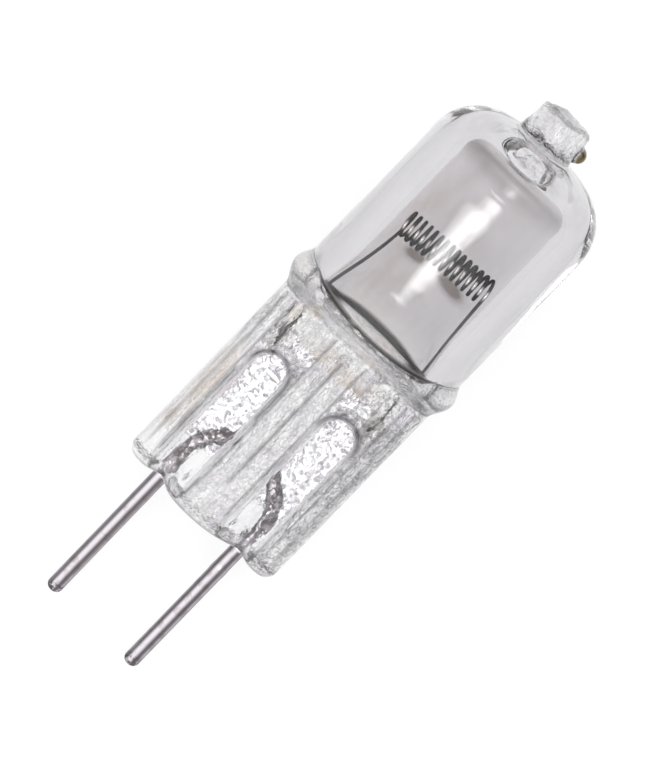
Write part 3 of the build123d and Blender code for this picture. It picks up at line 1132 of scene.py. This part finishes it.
    def rumpled(self, x: np.ndarray, z: np.ndarray, sunk: np.ndarray, pressed: np.ndarray) -> np.ndarray:
        """How full of fine lines the glass is.

        Args:
            x: The points' places across the lamp.
            z: Their heights.
            sunk: How far they lie in a panel.
            pressed: How much the jaws pressed them.

        Returns:
            The amount at each point, from 0 to about 1.
        """
        rumple = self.rumple
        spot_x, spot_z = rumple.weld_spot
        wide, tall = rumple.weld_size
        weld = spot((np.abs(x) - spot_x) / wide, (z - spot_z) / tall)
        above = smooth_step(self.panel_top, self.panel_top + rumple.above_rise, z)
        above = above * (np.abs(x) > rumple.above_clear)
        sides = np.where(x < 0, rumple.left, rumple.right)
        rail = np.where(np.abs(x) < rumple.middle_reach, rumple.middle, sides)
        amount = np.maximum(rail * (1.0 - rumple.panel_calm * sunk),
                            np.maximum(rumple.weld * weld, rumple.above * above))
        low, high = rumple.ear_rise
        ears = smooth_step(*rumple.ear_width, np.abs(x))
        amount *= pressed * (1.0 - ears * smooth_step(self.neck_start + low, self.neck_start + high, z))
        amount *= z < self.dome.shoulder
        middle, half = rumple.crown_spot
        low, high = rumple.crown_rise
        crown = np.exp(-(((x - middle) / half) ** 4))
        crown = crown * smooth_step(self.dome.top + low, self.dome.top + high, z)
        amount += rumple.stub * crown
        return amount

    def creased(self, x: np.ndarray, z: np.ndarray, away: np.ndarray, front: np.ndarray) -> np.ndarray:
        """How dark the painted shade along the panels' edges and on the single lines of the front is.

        Args:
            x: The points' places across the lamp.
            z: Their heights.
            away: Their distances from the middle line of the nearer panel.
            front: Whether they lie on the front.

        Returns:
            The amount at each point, from 0 to 1.
        """
        crease = self.crease
        inset, half = crease.arch
        dark = line_at(away, self.panel_half_width - inset, half) * smooth_step(*crease.arch_heights, z)
        inset, half = crease.flank
        dark = np.maximum(dark, crease.flank_depth * line_at(away, self.panel_half_width - inset, half))
        run = crease.score_run
        for shade_line in crease.scores:
            mark = shade_line.depth * line_at(x, shade_line.place, shade_line.half)
            mark *= smooth_step(shade_line.low, shade_line.low + run, z)
            mark *= 1.0 - smooth_step(shade_line.high - run, shade_line.high, z)
            dark = np.maximum(dark, mark * front)
        return dark * smooth_step(*crease.start, z)

    def milky(self, x: np.ndarray, y: np.ndarray, z: np.ndarray) -> np.ndarray:
        """How milky points of the outside are, from 0 to 1."""
        milk = self.milk
        beside = self.frost.beside(x)
        level = z - self.frost.side_rise * beside
        shoulder = smooth_step(self.neck_start + milk.rise[0], self.neck_start + milk.rise[1], z)
        shoulder *= 1.0 - smooth_step(self.neck_end + milk.fall[0], self.neck_end + milk.fall[1], level)
        ear = milk.ear * np.where(x > 0, milk.right_ear, 1.0)
        amount = milk.flat + shoulder * (milk.shoulder + (ear - milk.shoulder) * beside - milk.flat)
        amount *= 1.0 - smooth_step(*milk.back, y) * (1.0 - beside)
        amount *= 1.0 - smooth_step(self.neck_end, self.neck_end + milk.end, level)
        return amount

    def press(self, points: np.ndarray) -> dict[str, np.ndarray]:
        """Sinks the panels and the seam into both faces of the pinch and leaves its press marks.

        Args:
            points: Points of the outside, which are moved.

        Returns:
            How much each point is pressed, rumpled, milky, stained and hazy, and how dark the painted shade
            along the pinch's edges, grooves and lower edge is there.
        """
        x, y, z = points.T
        face = np.sign(y)
        flat = smooth_step(*self.face_share, np.abs(y) / self.pinch_half_depth) * (z < self.neck_start)
        pressed = self.frosted(x, z)
        away = np.hypot(np.abs(x) - self.panel_middle,
                        np.maximum(z - self.panel_top + self.panel_half_width, 0.0))
        sunk = 1.0 - smooth_step(self.panel_half_width - self.panel_flank, self.panel_half_width, away)
        lines = self.press_lines(x, z) * (1.0 - sunk)
        groove = self.seam(x, z)
        waves = self.press_wave_depth * self.press_waves.at(x + self.press_wave_shift * face, z)
        waves *= smooth_step(*self.press_wave_start, z)
        waves += self.panel_wave_depth * self.panel_waves.at(x + self.panel_wave_shift * face, z) * sunk
        depth = self.panel_depth * sunk * smooth_step(*self.panel_mouth, z)
        depth += self.seam_depth * groove + waves * pressed + self.rail_line_depth * lines
        points[:, 1] -= face * depth * flat
        self.buckle(points, face, pressed)
        stain = sum(patch.at(x, z, power=4) for patch in self.tan_stains) * pressed
        hem = z - self.lower_edge(x)
        # Painted shade along the panels' edges, the single lines, the lower edge, the rails and the seam.
        dark = self.creased(x, z, away, face < 0)
        dark = np.maximum(dark, self.crease.hem_depth * line_at(hem, *self.crease.hem))
        dark = np.maximum(dark, self.crease.rail_depth * lines)
        dark *= np.maximum(flat, hem < self.crease.hem_reach)
        return {"pressed": pressed, "rumple": self.rumpled(x, z, sunk, pressed), "milk": self.milky(x, y, z),
                "stain": np.clip(stain, 0.0, 1.0), "haze": z > 0.0,
                "crease": np.maximum(dark, self.crease.seam_depth * groove * flat)}

    def burn(self, points: np.ndarray) -> np.ndarray:
        """Raises the bead in the crook of the stub.

        Args:
            points: Points of the outside.

        Returns:
            How much each point is scorched, from 0 to 1.
        """
        x, y, z = points.T
        away = np.hypot(y, z - self.dome.top - self.bead_rise) / self.bead_radius
        right = (x > self.stub_offset) & (z > self.dome.shoulder)
        swell = np.sqrt(np.clip(1.0 - away ** 2, 0.0, 1.0)) * right
        points[:, 0] += self.bead_radius * swell
        return smooth_step(0.0, self.scorch_swell, swell)

    def cavity_reach(self, height: float) -> float:
        """The cavity's radius at a height: flared towards the floor, straight above."""
        share = min(max((height - self.cavity_floor) / self.cavity_flare_rise, 0.0), 1.0)
        return self.vault.radius + self.cavity_flare * (1.0 - share) ** 2

    def cavity_rings(self) -> tuple[np.ndarray, np.ndarray, np.ndarray]:
        """The cavity's rings from its sagging floor to the closed exhaust mouth, with its two end points."""
        turn = 2.0 * math.pi * np.arange(self.cavity_around) / self.cavity_around
        circle = np.column_stack([np.cos(turn), np.sin(turn)])
        rings = []
        low = self.cavity_floor - self.cavity_sag
        base = self.cavity_reach(self.cavity_floor) - self.cavity_crease
        for share in np.linspace(self.floor_start, 1.0, self.floor_rings):
            level = low + self.cavity_sag * share ** 2
            rings.append(np.column_stack([circle * base * share, np.full(self.cavity_around, level)]))
        for bend in np.linspace(0.0, math.pi / 2, self.bend_rings + 1)[1:]:
            height = self.cavity_floor + self.cavity_crease * (1.0 - math.cos(bend))
            reach = self.cavity_reach(height) - self.cavity_crease * (1.0 - math.sin(bend))
            rings.append(np.column_stack([circle * reach, np.full(self.cavity_around, height)]))
        start = self.cavity_floor + self.cavity_crease
        flare_top = self.cavity_floor + self.cavity_flare_rise
        flare = np.linspace(start, flare_top, self.flare_rings + 1)[1:]
        wall = np.linspace(flare_top, self.vault.shoulder, self.vault_wall_rings + 1)[1:]
        steps = [(self.cavity_reach(height), height) for height in flare]
        steps += [(self.vault.radius, height) for height in wall]
        steps += self.vault.bend(self.vault_knuckle_rings)
        rings += [np.column_stack([circle * radius, np.full(self.cavity_around, height)])
                  for radius, height in steps]
        for share in np.linspace(0.0, 1.0, self.crown_rings + 1)[1:]:
            flat = circle * (self.vault.crown_edge + (self.mouth_radius - self.vault.crown_edge) * share)
            flat[:, 0] += self.stub_offset * share
            rings.append(np.column_stack([flat, self.vault.crown_height(np.hypot(*flat.T))]))
        top = self.vault.top + self.mouth_depth
        foot = rings[-1][:, 2]
        for share in np.linspace(0.0, 1.0, self.crown_rings + 1)[1:]:
            narrow = (self.mouth_point - self.mouth_radius) * share ** self.mouth_taper
            flat = circle * (self.mouth_radius + narrow)
            flat[:, 0] += self.stub_offset
            rings.append(np.column_stack([flat, foot + (top - foot) * math.sin(share * math.pi / 2)]))
        cap = np.array([self.stub_offset, 0.0, top + self.mouth_cap])
        return np.array(rings), np.array([0.0, 0.0, low]), cap

    def soot(self, points: np.ndarray) -> np.ndarray:
        """How dark the painted shade on the cavity's wall is: the coil's painted shadow on the back wall below
        its halves, and painted shade under the dome.
        """
        x, y, z = points.T
        shade = sum(patch.at(x, z, power=2) for patch in self.soot_patches)
        corner = line_at(z, self.vault.shoulder + self.soot_corner_rise, self.soot_corner_half)
        corner = corner * (self.soot_corner_depth - self.soot_corner_lean * x)
        return np.clip(self.soot_depth * shade * (y > 0) + corner, 0.0, 1.0)

    def wiped(self, points: np.ndarray) -> np.ndarray:
        """How much painted light lightens a band of the bulb's front just above the floor of the cavity, from
        0 to 1.
        """
        x, y, z = points.T
        low, start, end = self.clean_heights
        band = smooth_step(low, self.neck_end, z) * (1.0 - smooth_step(start, end, z))
        return self.clean_depth * band * (1.0 - smooth_step(*self.clean_width, np.abs(x))) * (y < 0.0)

    def inside_looks(self, points: np.ndarray) -> dict[str, np.ndarray]:
        """What the cavity's surface looks like.

        Args:
            points: Points of the cavity.

        Returns:
            How dark each point's painted shade is, and how milky, pressed and hazy it is.
        """
        x, y, z = points.T
        reach = np.hypot(x, y) / self.cavity_reach(self.cavity_floor)
        # Painted shade: a dark, milky outline round the cavity's floor and at its sides.
        rim = np.maximum(smooth_step(*self.seal_rim, reach), smooth_step(*self.seal_sides, np.abs(x)))
        rim *= z < self.cavity_floor + self.seal_rim_rise * self.cavity_crease
        mouth = smooth_step(self.vault.top - self.mouth_frost, self.vault.top + self.mouth_frost, z)
        return {"scorch": np.maximum(rim, self.soot(points)), "milk": self.seal_milk * rim, "pressed": mouth,
                "haze": 1.0 - smooth_step(*self.haze_end, x)}

    def build(self, lamp: LampFrame) -> bpy.types.Object:
        """Makes the envelope with its outside and its cavity as one closed mesh.

        Args:
            lamp: Where the lamp lies.

        Returns:
            The envelope, in the row frame.
        """
        rings = self.pinch_rings() + self.bulb_rings()
        rings += self.stub_rings(rings[-1])
        low = np.array([0.0, 0.0, float(self.lower_edge(np.zeros(1))[0])])
        outside, faces = skin(np.array(rings), low, rings[-1].mean(axis=0))
        looks = self.press(outside)
        looks["scorch"] = self.burn(outside)
        # Painted light: a lighter band on the bulb's front.
        looks["clean"] = self.wiped(outside)
        inside, inner = skin(*self.cavity_rings())
        shift = len(outside)
        inner = [tuple(shift + corner for corner in reversed(face)) for face in inner]
        mesh = bpy.data.meshes.new("envelope")
        mesh.from_pydata(np.vstack([outside, inside]).tolist(), [], faces + inner)
        mesh.polygons.foreach_set("use_smooth", np.ones(len(mesh.polygons), bool))
        within = self.inside_looks(inside)
        blank = np.zeros(len(inside))
        for name, values in looks.items():
            carry(mesh, name, np.concatenate([values, within.get(name, blank)]))
        for finish in (CLEAR_QUARTZ, SHADED_CAVITY_QUARTZ, SEAL_QUARTZ):
            mesh.materials.append(finish.material(lamp))
        seal = inside[:, 2] < self.cavity_floor + self.seal_rise * self.cavity_crease
        sealed = [1 + int(all(seal[corner - shift] for corner in face)) for face in inner]
        mesh.polygons.foreach_set("material_index", np.array([0] * len(faces) + sealed, np.int32))
        lamp.lay(mesh)
        piece = bpy.data.objects.new("envelope", mesh)
        bpy.context.scene.collection.objects.link(piece)
        return hand_over(piece, "quartz_envelope")


@dataclass
class Filament:
    """The tungsten wire: a coil across the bulb and two legs that run down onto the foils."""

    wire_radius: float = 0.115
    coil_radius: float = 0.785
    coil_pitch: float = 0.44
    coil_turns: float = 14.5
    coil_height: float = 21.5
    coil_tilt: float = 2.5
    leg_x: float = 3.8
    leg_y: float = -0.085
    leg_entry: float = 15.4
    leg_low: float = 10.6
    leg_pull: float = 1.6
    weld_top: float = 12.02
    dark_reach: Pair = (0.15, 0.32)
    dark_depth: float = 0.97
    weld_fade: float = 0.8
    weld_margin: float = 1.0
    join_gap: float = 0.01
    leg_points: int = 24
    turn_points: int = 30
    facets: int = 12

    def coil_end(self, side: Side) -> tuple[Vector, Vector]:
        """Where the coil ends on a side, and which way the wire leaves it there."""
        turn = Matrix.Rotation(math.radians(-self.coil_tilt), 4, "Y")
        half = self.coil_pitch * self.coil_turns / 2.0
        end = turn @ Vector((side.value * half, -side.value * self.coil_radius, 0.0))
        return end + Vector((0.0, 0.0, self.coil_height)), turn @ Vector((0.0, 0.0, -1.0))

    def coil_line(self, model: NodeModel) -> bpy.types.NodeSocket:
        """The coil's centre line, wound upright and then laid across the lamp."""
        length = model.size("Coil Length", "Float", self.coil_pitch * self.coil_turns)
        radius = model.size("Coil Radius", "Float", self.coil_radius)
        graph = model.graph
        winding = graph.add("GeometryNodeCurveSpiral", {
            "Resolution": model.size("Points a Turn", "Int", self.turn_points),
            "Rotations": model.size("Turns", "Float", self.coil_turns),
            "Start Radius": radius, "End Radius": radius, "Height": length, "Reverse": True})
        drop = graph.add("ShaderNodeCombineXYZ", {"Z": graph.maths("MULTIPLY", length, -0.5)})
        line = graph.add("GeometryNodeTransform", {"Geometry": winding.outputs[0],
                                                   "Translation": drop.outputs[0]})
        for name, tilt, lift in (("Lay", (0.0, 90.0, 0.0), 0.0), ("Roll", (90.0, 0.0, 0.0), 0.0),
                                 ("Tilt", (0.0, -self.coil_tilt, 0.0), self.coil_height)):
            angles = model.size(name, "Vector", tuple(math.radians(angle) for angle in tilt))
            place = model.size(f"{name} Place", "Vector", (0.0, 0.0, lift))
            line = graph.add("GeometryNodeTransform", {"Geometry": line.outputs[0], "Rotation": angles,
                                                       "Translation": place})
        return line.outputs[0]

    def leg_lines(self, model: NodeModel, side: Side) -> list[bpy.types.NodeSocket]:
        """The centre line of a leg: a bend from the coil to the cavity floor, then straight to the foil."""
        end, way = self.coil_end(side)
        entry = Vector((side.value * self.leg_x, self.leg_y, self.leg_entry))
        pull = Vector((0.0, 0.0, self.leg_pull))
        word = side.word.title()
        start = model.size(f"{word} Start", "Vector", end)
        low = model.size(f"{word} Entry", "Vector", entry)
        bend = model.graph.add("GeometryNodeCurvePrimitiveBezierSegment", {
            "Resolution": self.leg_points, "Start": start, "End": low,
            "Start Handle": model.size(f"{word} Start Pull", "Vector", end + way * self.leg_pull),
            "End Handle": model.size(f"{word} Entry Pull", "Vector", entry + pull)}, mode="POSITION")
        foot = model.size(f"{word} Foot", "Vector", (entry.x, entry.y, self.leg_low))
        run = model.graph.add("GeometryNodeCurvePrimitiveLine", {"Start": low, "End": foot})
        run = model.graph.add("GeometryNodeResampleCurve", {"Curve": run.outputs[0], "Count": self.leg_points})
        return [bend.outputs[0], run.outputs[0]]

    def build(self, lamp: LampFrame) -> bpy.types.Object:
        """Winds the filament with geometry nodes.

        Args:
            lamp: Where the lamp lies.

        Returns:
            The filament, in the row frame.
        """
        model = NodeModel("wound_wire")
        lines = [self.coil_line(model), *self.leg_lines(model, Side.LEFT), *self.leg_lines(model, Side.RIGHT)]
        graph = model.graph
        joined = graph.add("GeometryNodeJoinGeometry")
        for line in lines:
            edges = graph.add("GeometryNodeCurveToMesh", {"Curve": line})
            graph.tree.links.new(edges.outputs[0], joined.inputs[0])
        single = graph.add("GeometryNodeMergeByDistance", {
            "Geometry": joined.outputs[0], "Distance": model.size("Join Gap", "Float", self.join_gap)})
        wire = graph.add("GeometryNodeMeshToCurve", {"Mesh": single.outputs[0]})
        model.sweep(wire.outputs[0], model.size("Wire Radius", "Float", self.wire_radius), self.facets,
                    DRAWN_TUNGSTEN.material(lamp))
        piece = model.run("filament_wire")
        x, y, z = points_of(piece.data).T
        # Painted highlight and shade: the wire is darkened everywhere but a band across the front middle of
        # the coil, which stays bright.
        above = np.abs(z - self.coil_height - math.tan(math.radians(self.coil_tilt)) * x)
        dark = np.where(y < 0.0, smooth_step(*self.dark_reach, above), 1.0)
        carry(piece.data, "shade", self.dark_depth * dark)
        carry(piece.data, "tarnish", smooth_step(self.weld_top, self.weld_top - self.weld_fade, z))
        seat_on_foil(piece.data, self.leg_low - self.weld_margin, self.weld_top)
        lamp.lay(piece.data)
        return hand_over(piece, "filament")


@dataclass
class Foil:
    """A molybdenum foil sealed in the pinch, thin and a little wrinkled."""

    side: Side
    middle: float = 2.8
    width: float = 2.9
    thickness: float = 0.04
    low: float = 3.0
    high: float = 12.0
    clearance: float = 0.015
    wrinkle_seed: int = 41
    wrinkle_length: float = 0.5
    wrinkle_stretch: float = 1.3
    wrinkle_depth: float = 0.006
    edge_thinning: float = 0.7
    edge_power: int = 4
    weld_spot: Pair = (3.8, 11.3)
    weld_reach: Pair = (0.5, 1.25)
    weld_tarnish: float = 0.9
    across_points: int = 60
    along_points: int = 160

    def build(self, lamp: LampFrame) -> bpy.types.Object:
        """Makes the foil as a thin closed sheet.

        Args:
            lamp: Where the lamp lies.

        Returns:
            The foil, in the row frame.
        """
        across = np.linspace(-0.5, 0.5, self.across_points) * self.width
        along = np.linspace(self.low, self.high, self.along_points)
        x, z = np.meshgrid(across, along)
        wrinkles = Ripple(self.wrinkle_seed + self.side.value, self.wrinkle_length, self.wrinkle_stretch)
        near = self.clearance + self.wrinkle_depth * np.abs(wrinkles.at(x, z))
        edge = np.abs(across / self.width * 2.0) ** self.edge_power
        far = near + np.broadcast_to(self.thickness * (1.0 - self.edge_thinning * edge), x.shape)
        front = np.stack([x, near, z], axis=2).reshape(-1, 3)
        back = np.stack([x, far, z], axis=2).reshape(-1, 3)
        count = len(front)
        faces = []
        for row in range(self.along_points - 1):
            for column in range(self.across_points - 1):
                a = row * self.across_points + column
                b = a + 1
                d = a + self.across_points
                c = d + 1
                faces += [(a, b, c, d), (count + d, count + c, count + b, count + a)]
        rim = [*range(self.across_points),
               *range(2 * self.across_points - 1, count, self.across_points),
               *range(count - 2, count - self.across_points - 1, -1),
               *range(count - 2 * self.across_points, 0, -self.across_points)]
        faces += [(b, a, count + a, count + b) for a, b in zip(rim, rim[1:] + rim[:1])]
        points = np.vstack([front, back])
        points[:, 0] += self.side.value * self.middle
        mesh = bpy.data.meshes.new(f"foil_sheet_{self.side.word}")
        mesh.from_pydata(points.tolist(), [], faces)
        mesh.polygons.foreach_set("use_smooth", np.ones(len(mesh.polygons), bool))
        middle, height = self.weld_spot
        wide, tall = self.weld_reach
        weld = spot((points[:, 0] - self.side.value * middle) / wide, (points[:, 2] - height) / tall)
        carry(mesh, "tarnish", self.weld_tarnish * weld)
        mesh.materials.append(ROLLED_MOLYBDENUM.material(lamp))
        lamp.lay(mesh)
        piece = bpy.data.objects.new(mesh.name, mesh)
        bpy.context.scene.collection.objects.link(piece)
        return hand_over(piece, f"foil_{self.side.word}")


@dataclass
class Pin:
    """A contact pin: straight with a rounded dark tip outside, hooked inward inside the pinch."""

    side: Side
    middle: float = 3.175
    radius: float = 0.5
    root_radius: float = 0.46
    length: float = 9.75
    tip_round: float = 0.42
    taper: float = 1.0
    straight: float = 2.0
    bend_radius: float = 3.2
    bend_angle: float = 50.0
    tail: float = 0.9
    seat: float = 2.97
    collar_place: float = -1.75
    collar_reach: float = 0.28
    collar_rise: float = 0.02
    die_lines: tuple[tuple[float, float, float], ...] = ((-0.74, 0.22, 0.80), (0.36, 0.25, 0.92))
    tip_start: float = 0.06
    burnt_tip: Pair = (0.25, 1.1)
    burnt_depth: float = 0.9
    sealed_tarnish: Pair = (0.3, 1.6)
    step: float = 0.12
    tip_points: int = 10
    bend_points: int = 22
    tail_points: int = 9
    facets: int = 48

    def line(self) -> tuple[np.ndarray, np.ndarray]:
        """The pin's centre line from tip to hooked end, and its radius there."""
        ring = self.radius - self.tip_round
        bends = np.linspace(self.tip_start, math.pi / 2, self.tip_points)
        tips = [(-self.length + self.tip_round * (1.0 - math.cos(bend)),
                 ring + self.tip_round * math.sin(bend)) for bend in bends]
        heights = np.arange(-self.length + self.tip_round + self.step, self.straight, self.step)
        collar = self.collar_rise * np.exp(-(((heights - self.collar_place) / self.collar_reach) ** 4))
        collar *= self.side is Side.RIGHT
        bare = np.interp(heights, [0.0, self.taper], [self.radius, self.root_radius])
        places = [(self.side.value * self.middle, 0.0, height) for height, _ in tips]
        girths = [girth for _, girth in tips]
        places += [(self.side.value * self.middle, 0.0, height) for height in heights]
        girths += list(bare + collar)
        for angle in np.radians(np.linspace(0.0, self.bend_angle, self.bend_points)):
            places.append((self.side.value * (self.middle - self.bend_radius * (1.0 - math.cos(angle))), 0.0,
                           self.straight + self.bend_radius * math.sin(angle)))
        last = math.radians(self.bend_angle)
        way = np.array([-self.side.value * math.sin(last), 0.0, math.cos(last)])
        corner = np.array(places[-1])
        shares = np.linspace(0.0, 1.0, self.tail_points + 1)[1:]
        places += [tuple(corner + way * self.tail * share) for share in shares]
        girths += [self.root_radius] * (len(places) - len(girths))
        return np.array(places), np.array(girths)

    def build(self, lamp: LampFrame, finish: bpy.types.Material) -> bpy.types.Object:
        """Draws the pin along its centre line with geometry nodes.

        Args:
            lamp: Where the lamp lies.
            finish: The metal of both pins.

        Returns:
            The pin, in the row frame.
        """
        places, girths = self.line()
        start = bpy.data.meshes.new("pin_line")
        start.from_pydata(places.tolist(), [(at, at + 1) for at in range(len(places) - 1)], [])
        carry(start, "girth", girths / self.radius)
        model = NodeModel(f"drawn_pin_{self.side.word}")
        line = model.size("Line", "Geometry", None)
        curve = model.graph.add("GeometryNodeMeshToCurve", {"Mesh": line})
        girth = model.graph.add("GeometryNodeInputNamedAttribute", {"Name": "girth"}, data_type="FLOAT")
        model.sweep(curve.outputs[0], model.size("Radius", "Float", self.radius), self.facets, finish,
                    girth.outputs[0])
        piece = model.run(f"pin_rod_{self.side.word}", start)
        x, _, z = points_of(piece.data).T
        burnt = 1.0 - smooth_step(*self.burnt_tip, z + self.length)
        # Painted reflection: two dark lines along the bare part of the pin, put in its shade.
        across = (x - self.side.value * self.middle) / self.radius
        lines = [depth * line_at(across, place, reach) for place, reach, depth in self.die_lines]
        carry(piece.data, "shade", np.max(lines, axis=0) * (z < 0.0))
        sealed = smooth_step(*self.sealed_tarnish, z)
        carry(piece.data, "tarnish", np.maximum(self.burnt_depth * burnt, sealed))
        seat_on_foil(piece.data, self.seat, self.straight + self.bend_radius + self.tail)
        lamp.lay(piece.data)
        return hand_over(piece, f"pin_{self.side.word}")


@dataclass
class Studio:
    """A white table in a bright room, a strip of soft light, and the camera that looks straight down."""

    floor_half: float = 0.45
    floor_drop: float = 0.00003
    view_height: float = 0.0462
    camera_distance: float = 0.4
    camera_roll: float = 44.0
    aim: Pair = (0.1, 10.62)
    sensor: float = 36.0
    glint_spot: Pair = (5.9, 24.8)
    glint_lean: float = -7.5
    glint_distance: float = 0.36
    glint_panes: int = 6
    glint_gap: float = 0.002
    glint_size: Pair = (0.26, 0.024)
    glint_radiance: float = 2.0
    room_top: Colour = (1.40, 1.40, 1.41)
    room_ends: Colour = (1.0, 1.0, 1.0)
    room_left: Colour = (0.65, 0.64, 0.65)
    room_right: Colour = (0.50, 0.49, 0.50)
    room_seen: Colour = (0.95, 0.95, 0.95)
    wall_reach: Pair = (0.5, 0.8)
    top_reach: Pair = (0.35, 0.75)
    clip: Pair = (0.01, 10.0)
    table_glow: float = 0.80
    table_roughness: float = 0.9
    table_gloss: float = 0.2
    grain_scale: float = 900.0
    grain_detail: float = 2.0
    grain_tints: tuple[Colour, Colour] = ((0.21, 0.21, 0.21), (0.23, 0.23, 0.23))

    def floor(self) -> bpy.types.Object:
        """Lays the table with a faint paper grain."""
        half = self.floor_half
        mesh = bpy.data.meshes.new("table")
        mesh.from_pydata([(-half, -half, -self.floor_drop), (half, -half, -self.floor_drop),
                          (half, half, -self.floor_drop), (-half, half, -self.floor_drop)], [], [(0, 1, 2, 3)])
        material, graph = new_material("white_table")
        space = graph.add("ShaderNodeTexCoord").outputs["Object"]
        grain = graph.add("ShaderNodeTexNoise", {"Vector": space, "Scale": self.grain_scale,
                                                 "Detail": self.grain_detail})
        tint = graph.blend(grain.outputs["Fac"], *self.grain_tints)
        paper = graph.add("ShaderNodeBsdfPrincipled", {
            "Base Color": tint, "Roughness": self.table_roughness, "Specular IOR Level": self.table_gloss,
            "Emission Color": (1.0, 1.0, 1.0, 1.0), "Emission Strength": self.table_glow})
        graph.add("ShaderNodeOutputMaterial", {"Surface": paper.outputs["BSDF"]})
        mesh.materials.append(material)
        piece = bpy.data.objects.new("table", mesh)
        bpy.context.scene.collection.objects.link(piece)
        return piece

    def eye(self, lamp: LampFrame) -> Vector:
        """Where the camera stands: straight above a point of the lamp."""
        spot = lamp.matrix @ Vector((self.aim[0], 0.0, self.aim[1]))
        return Vector((spot.x, spot.y, self.camera_distance))

    def glints(self, lamp: LampFrame) -> None:
        """Hangs a small strip of soft panes where the bulb's upper side mirrors it into the camera.

        Args:
            lamp: Where the lamp lies.
        """
        spot = lamp.matrix @ Vector((0.0, -self.glint_spot[0], self.glint_spot[1]))
        upper = (lamp.matrix.to_3x3() @ Vector((0.0, -1.0, 0.0))).normalized()
        upper.rotate(Matrix.Rotation(math.radians(self.glint_lean / 2.0), 3, "Y"))
        sight = (self.eye(lamp) - spot).normalized()
        way = (2.0 * upper * upper.dot(sight) - sight).normalized()
        along = way.cross(Vector((1.0, 0.0, 0.0))).normalized()
        turn = Matrix((along.cross(way), along, way)).transposed()
        for number in range(1, self.glint_panes + 1):
            light = bpy.data.lights.new(f"pane_{number}", "AREA")
            light.shape = "ELLIPSE"
            share = number / self.glint_panes
            light.size = self.glint_size[0] * share
            light.size_y = self.glint_size[1] * (0.5 + 0.5 * share)
            light.energy = self.glint_radiance * math.pi * light.size * light.size_y * math.pi / 4
            pane = bpy.data.objects.new(light.name, light)
            pane.location = spot + way * (self.glint_distance + self.glint_gap * number)
            pane.rotation_euler = turn.to_euler()
            pane.visible_camera = False
            bpy.context.scene.collection.objects.link(pane)

    def surroundings(self) -> None:
        """Sets a bright room with dark walls on the lamp's left and right, even where the camera sees it."""
        world = bpy.data.worlds.new("room")
        world.use_nodes = True
        graph = Graph(world.node_tree)
        way = graph.add("ShaderNodeSeparateXYZ", {0: graph.add("ShaderNodeTexCoord").outputs["Generated"]})
        walls = graph.blend(graph.rise(way.outputs["X"], -1.0, 1.0), self.room_left, self.room_right)
        beside = graph.rise(graph.maths("ABSOLUTE", way.outputs["X"]), *self.wall_reach)
        walls = graph.blend(beside, self.room_ends, walls)
        room = graph.blend(graph.rise(way.outputs["Z"], *self.top_reach), walls, self.room_top)
        seen = graph.add("ShaderNodeLightPath").outputs["Is Camera Ray"]
        tint = graph.blend(seen, room, self.room_seen)
        room = graph.add("ShaderNodeBackground", {"Color": tint, "Strength": 1.0})
        graph.add("ShaderNodeOutputWorld", {"Surface": room.outputs[0]})
        bpy.context.scene.world = world

    def camera(self, lamp: LampFrame) -> bpy.types.Object:
        """Sets the camera straight above the lamp, turned so that the lamp points up to the right."""
        lens = bpy.data.cameras.new("camera")
        lens.sensor_fit = "AUTO"
        lens.sensor_width = self.sensor
        lens.lens = self.sensor * self.camera_distance / self.view_height
        lens.clip_start, lens.clip_end = self.clip
        camera = bpy.data.objects.new("camera", lens)
        camera.location = self.eye(lamp)
        camera.rotation_euler = (0.0, 0.0, math.radians(self.camera_roll))
        bpy.context.scene.collection.objects.link(camera)
        bpy.context.scene.camera = camera
        return camera

    def build(self, lamp: LampFrame) -> None:
        """Sets up the table, the lights and the camera.

        Args:
            lamp: Where the lamp lies.
        """
        self.floor()
        self.glints(lamp)
        self.surroundings()
        self.camera(lamp)
        bpy.context.scene.view_settings.view_transform = "Standard"
        LOG.info("studio: table, lights and camera are set")


def main() -> None:
    """Builds the lamp's pieces in order, then the studio."""
    logging.basicConfig(level=logging.INFO, format="%(name)s %(message)s")
    lamp = LampFrame.from_record(frame["record"])
    Envelope().build(lamp)
    Filament().build(lamp)
    pin_metal = PIN_METAL.material(lamp)
    for side in Side:
        Foil(side).build(lamp)
        Pin(side).build(lamp, pin_metal)
    Studio().build(lamp)


if __name__ == "__main__":
    main()
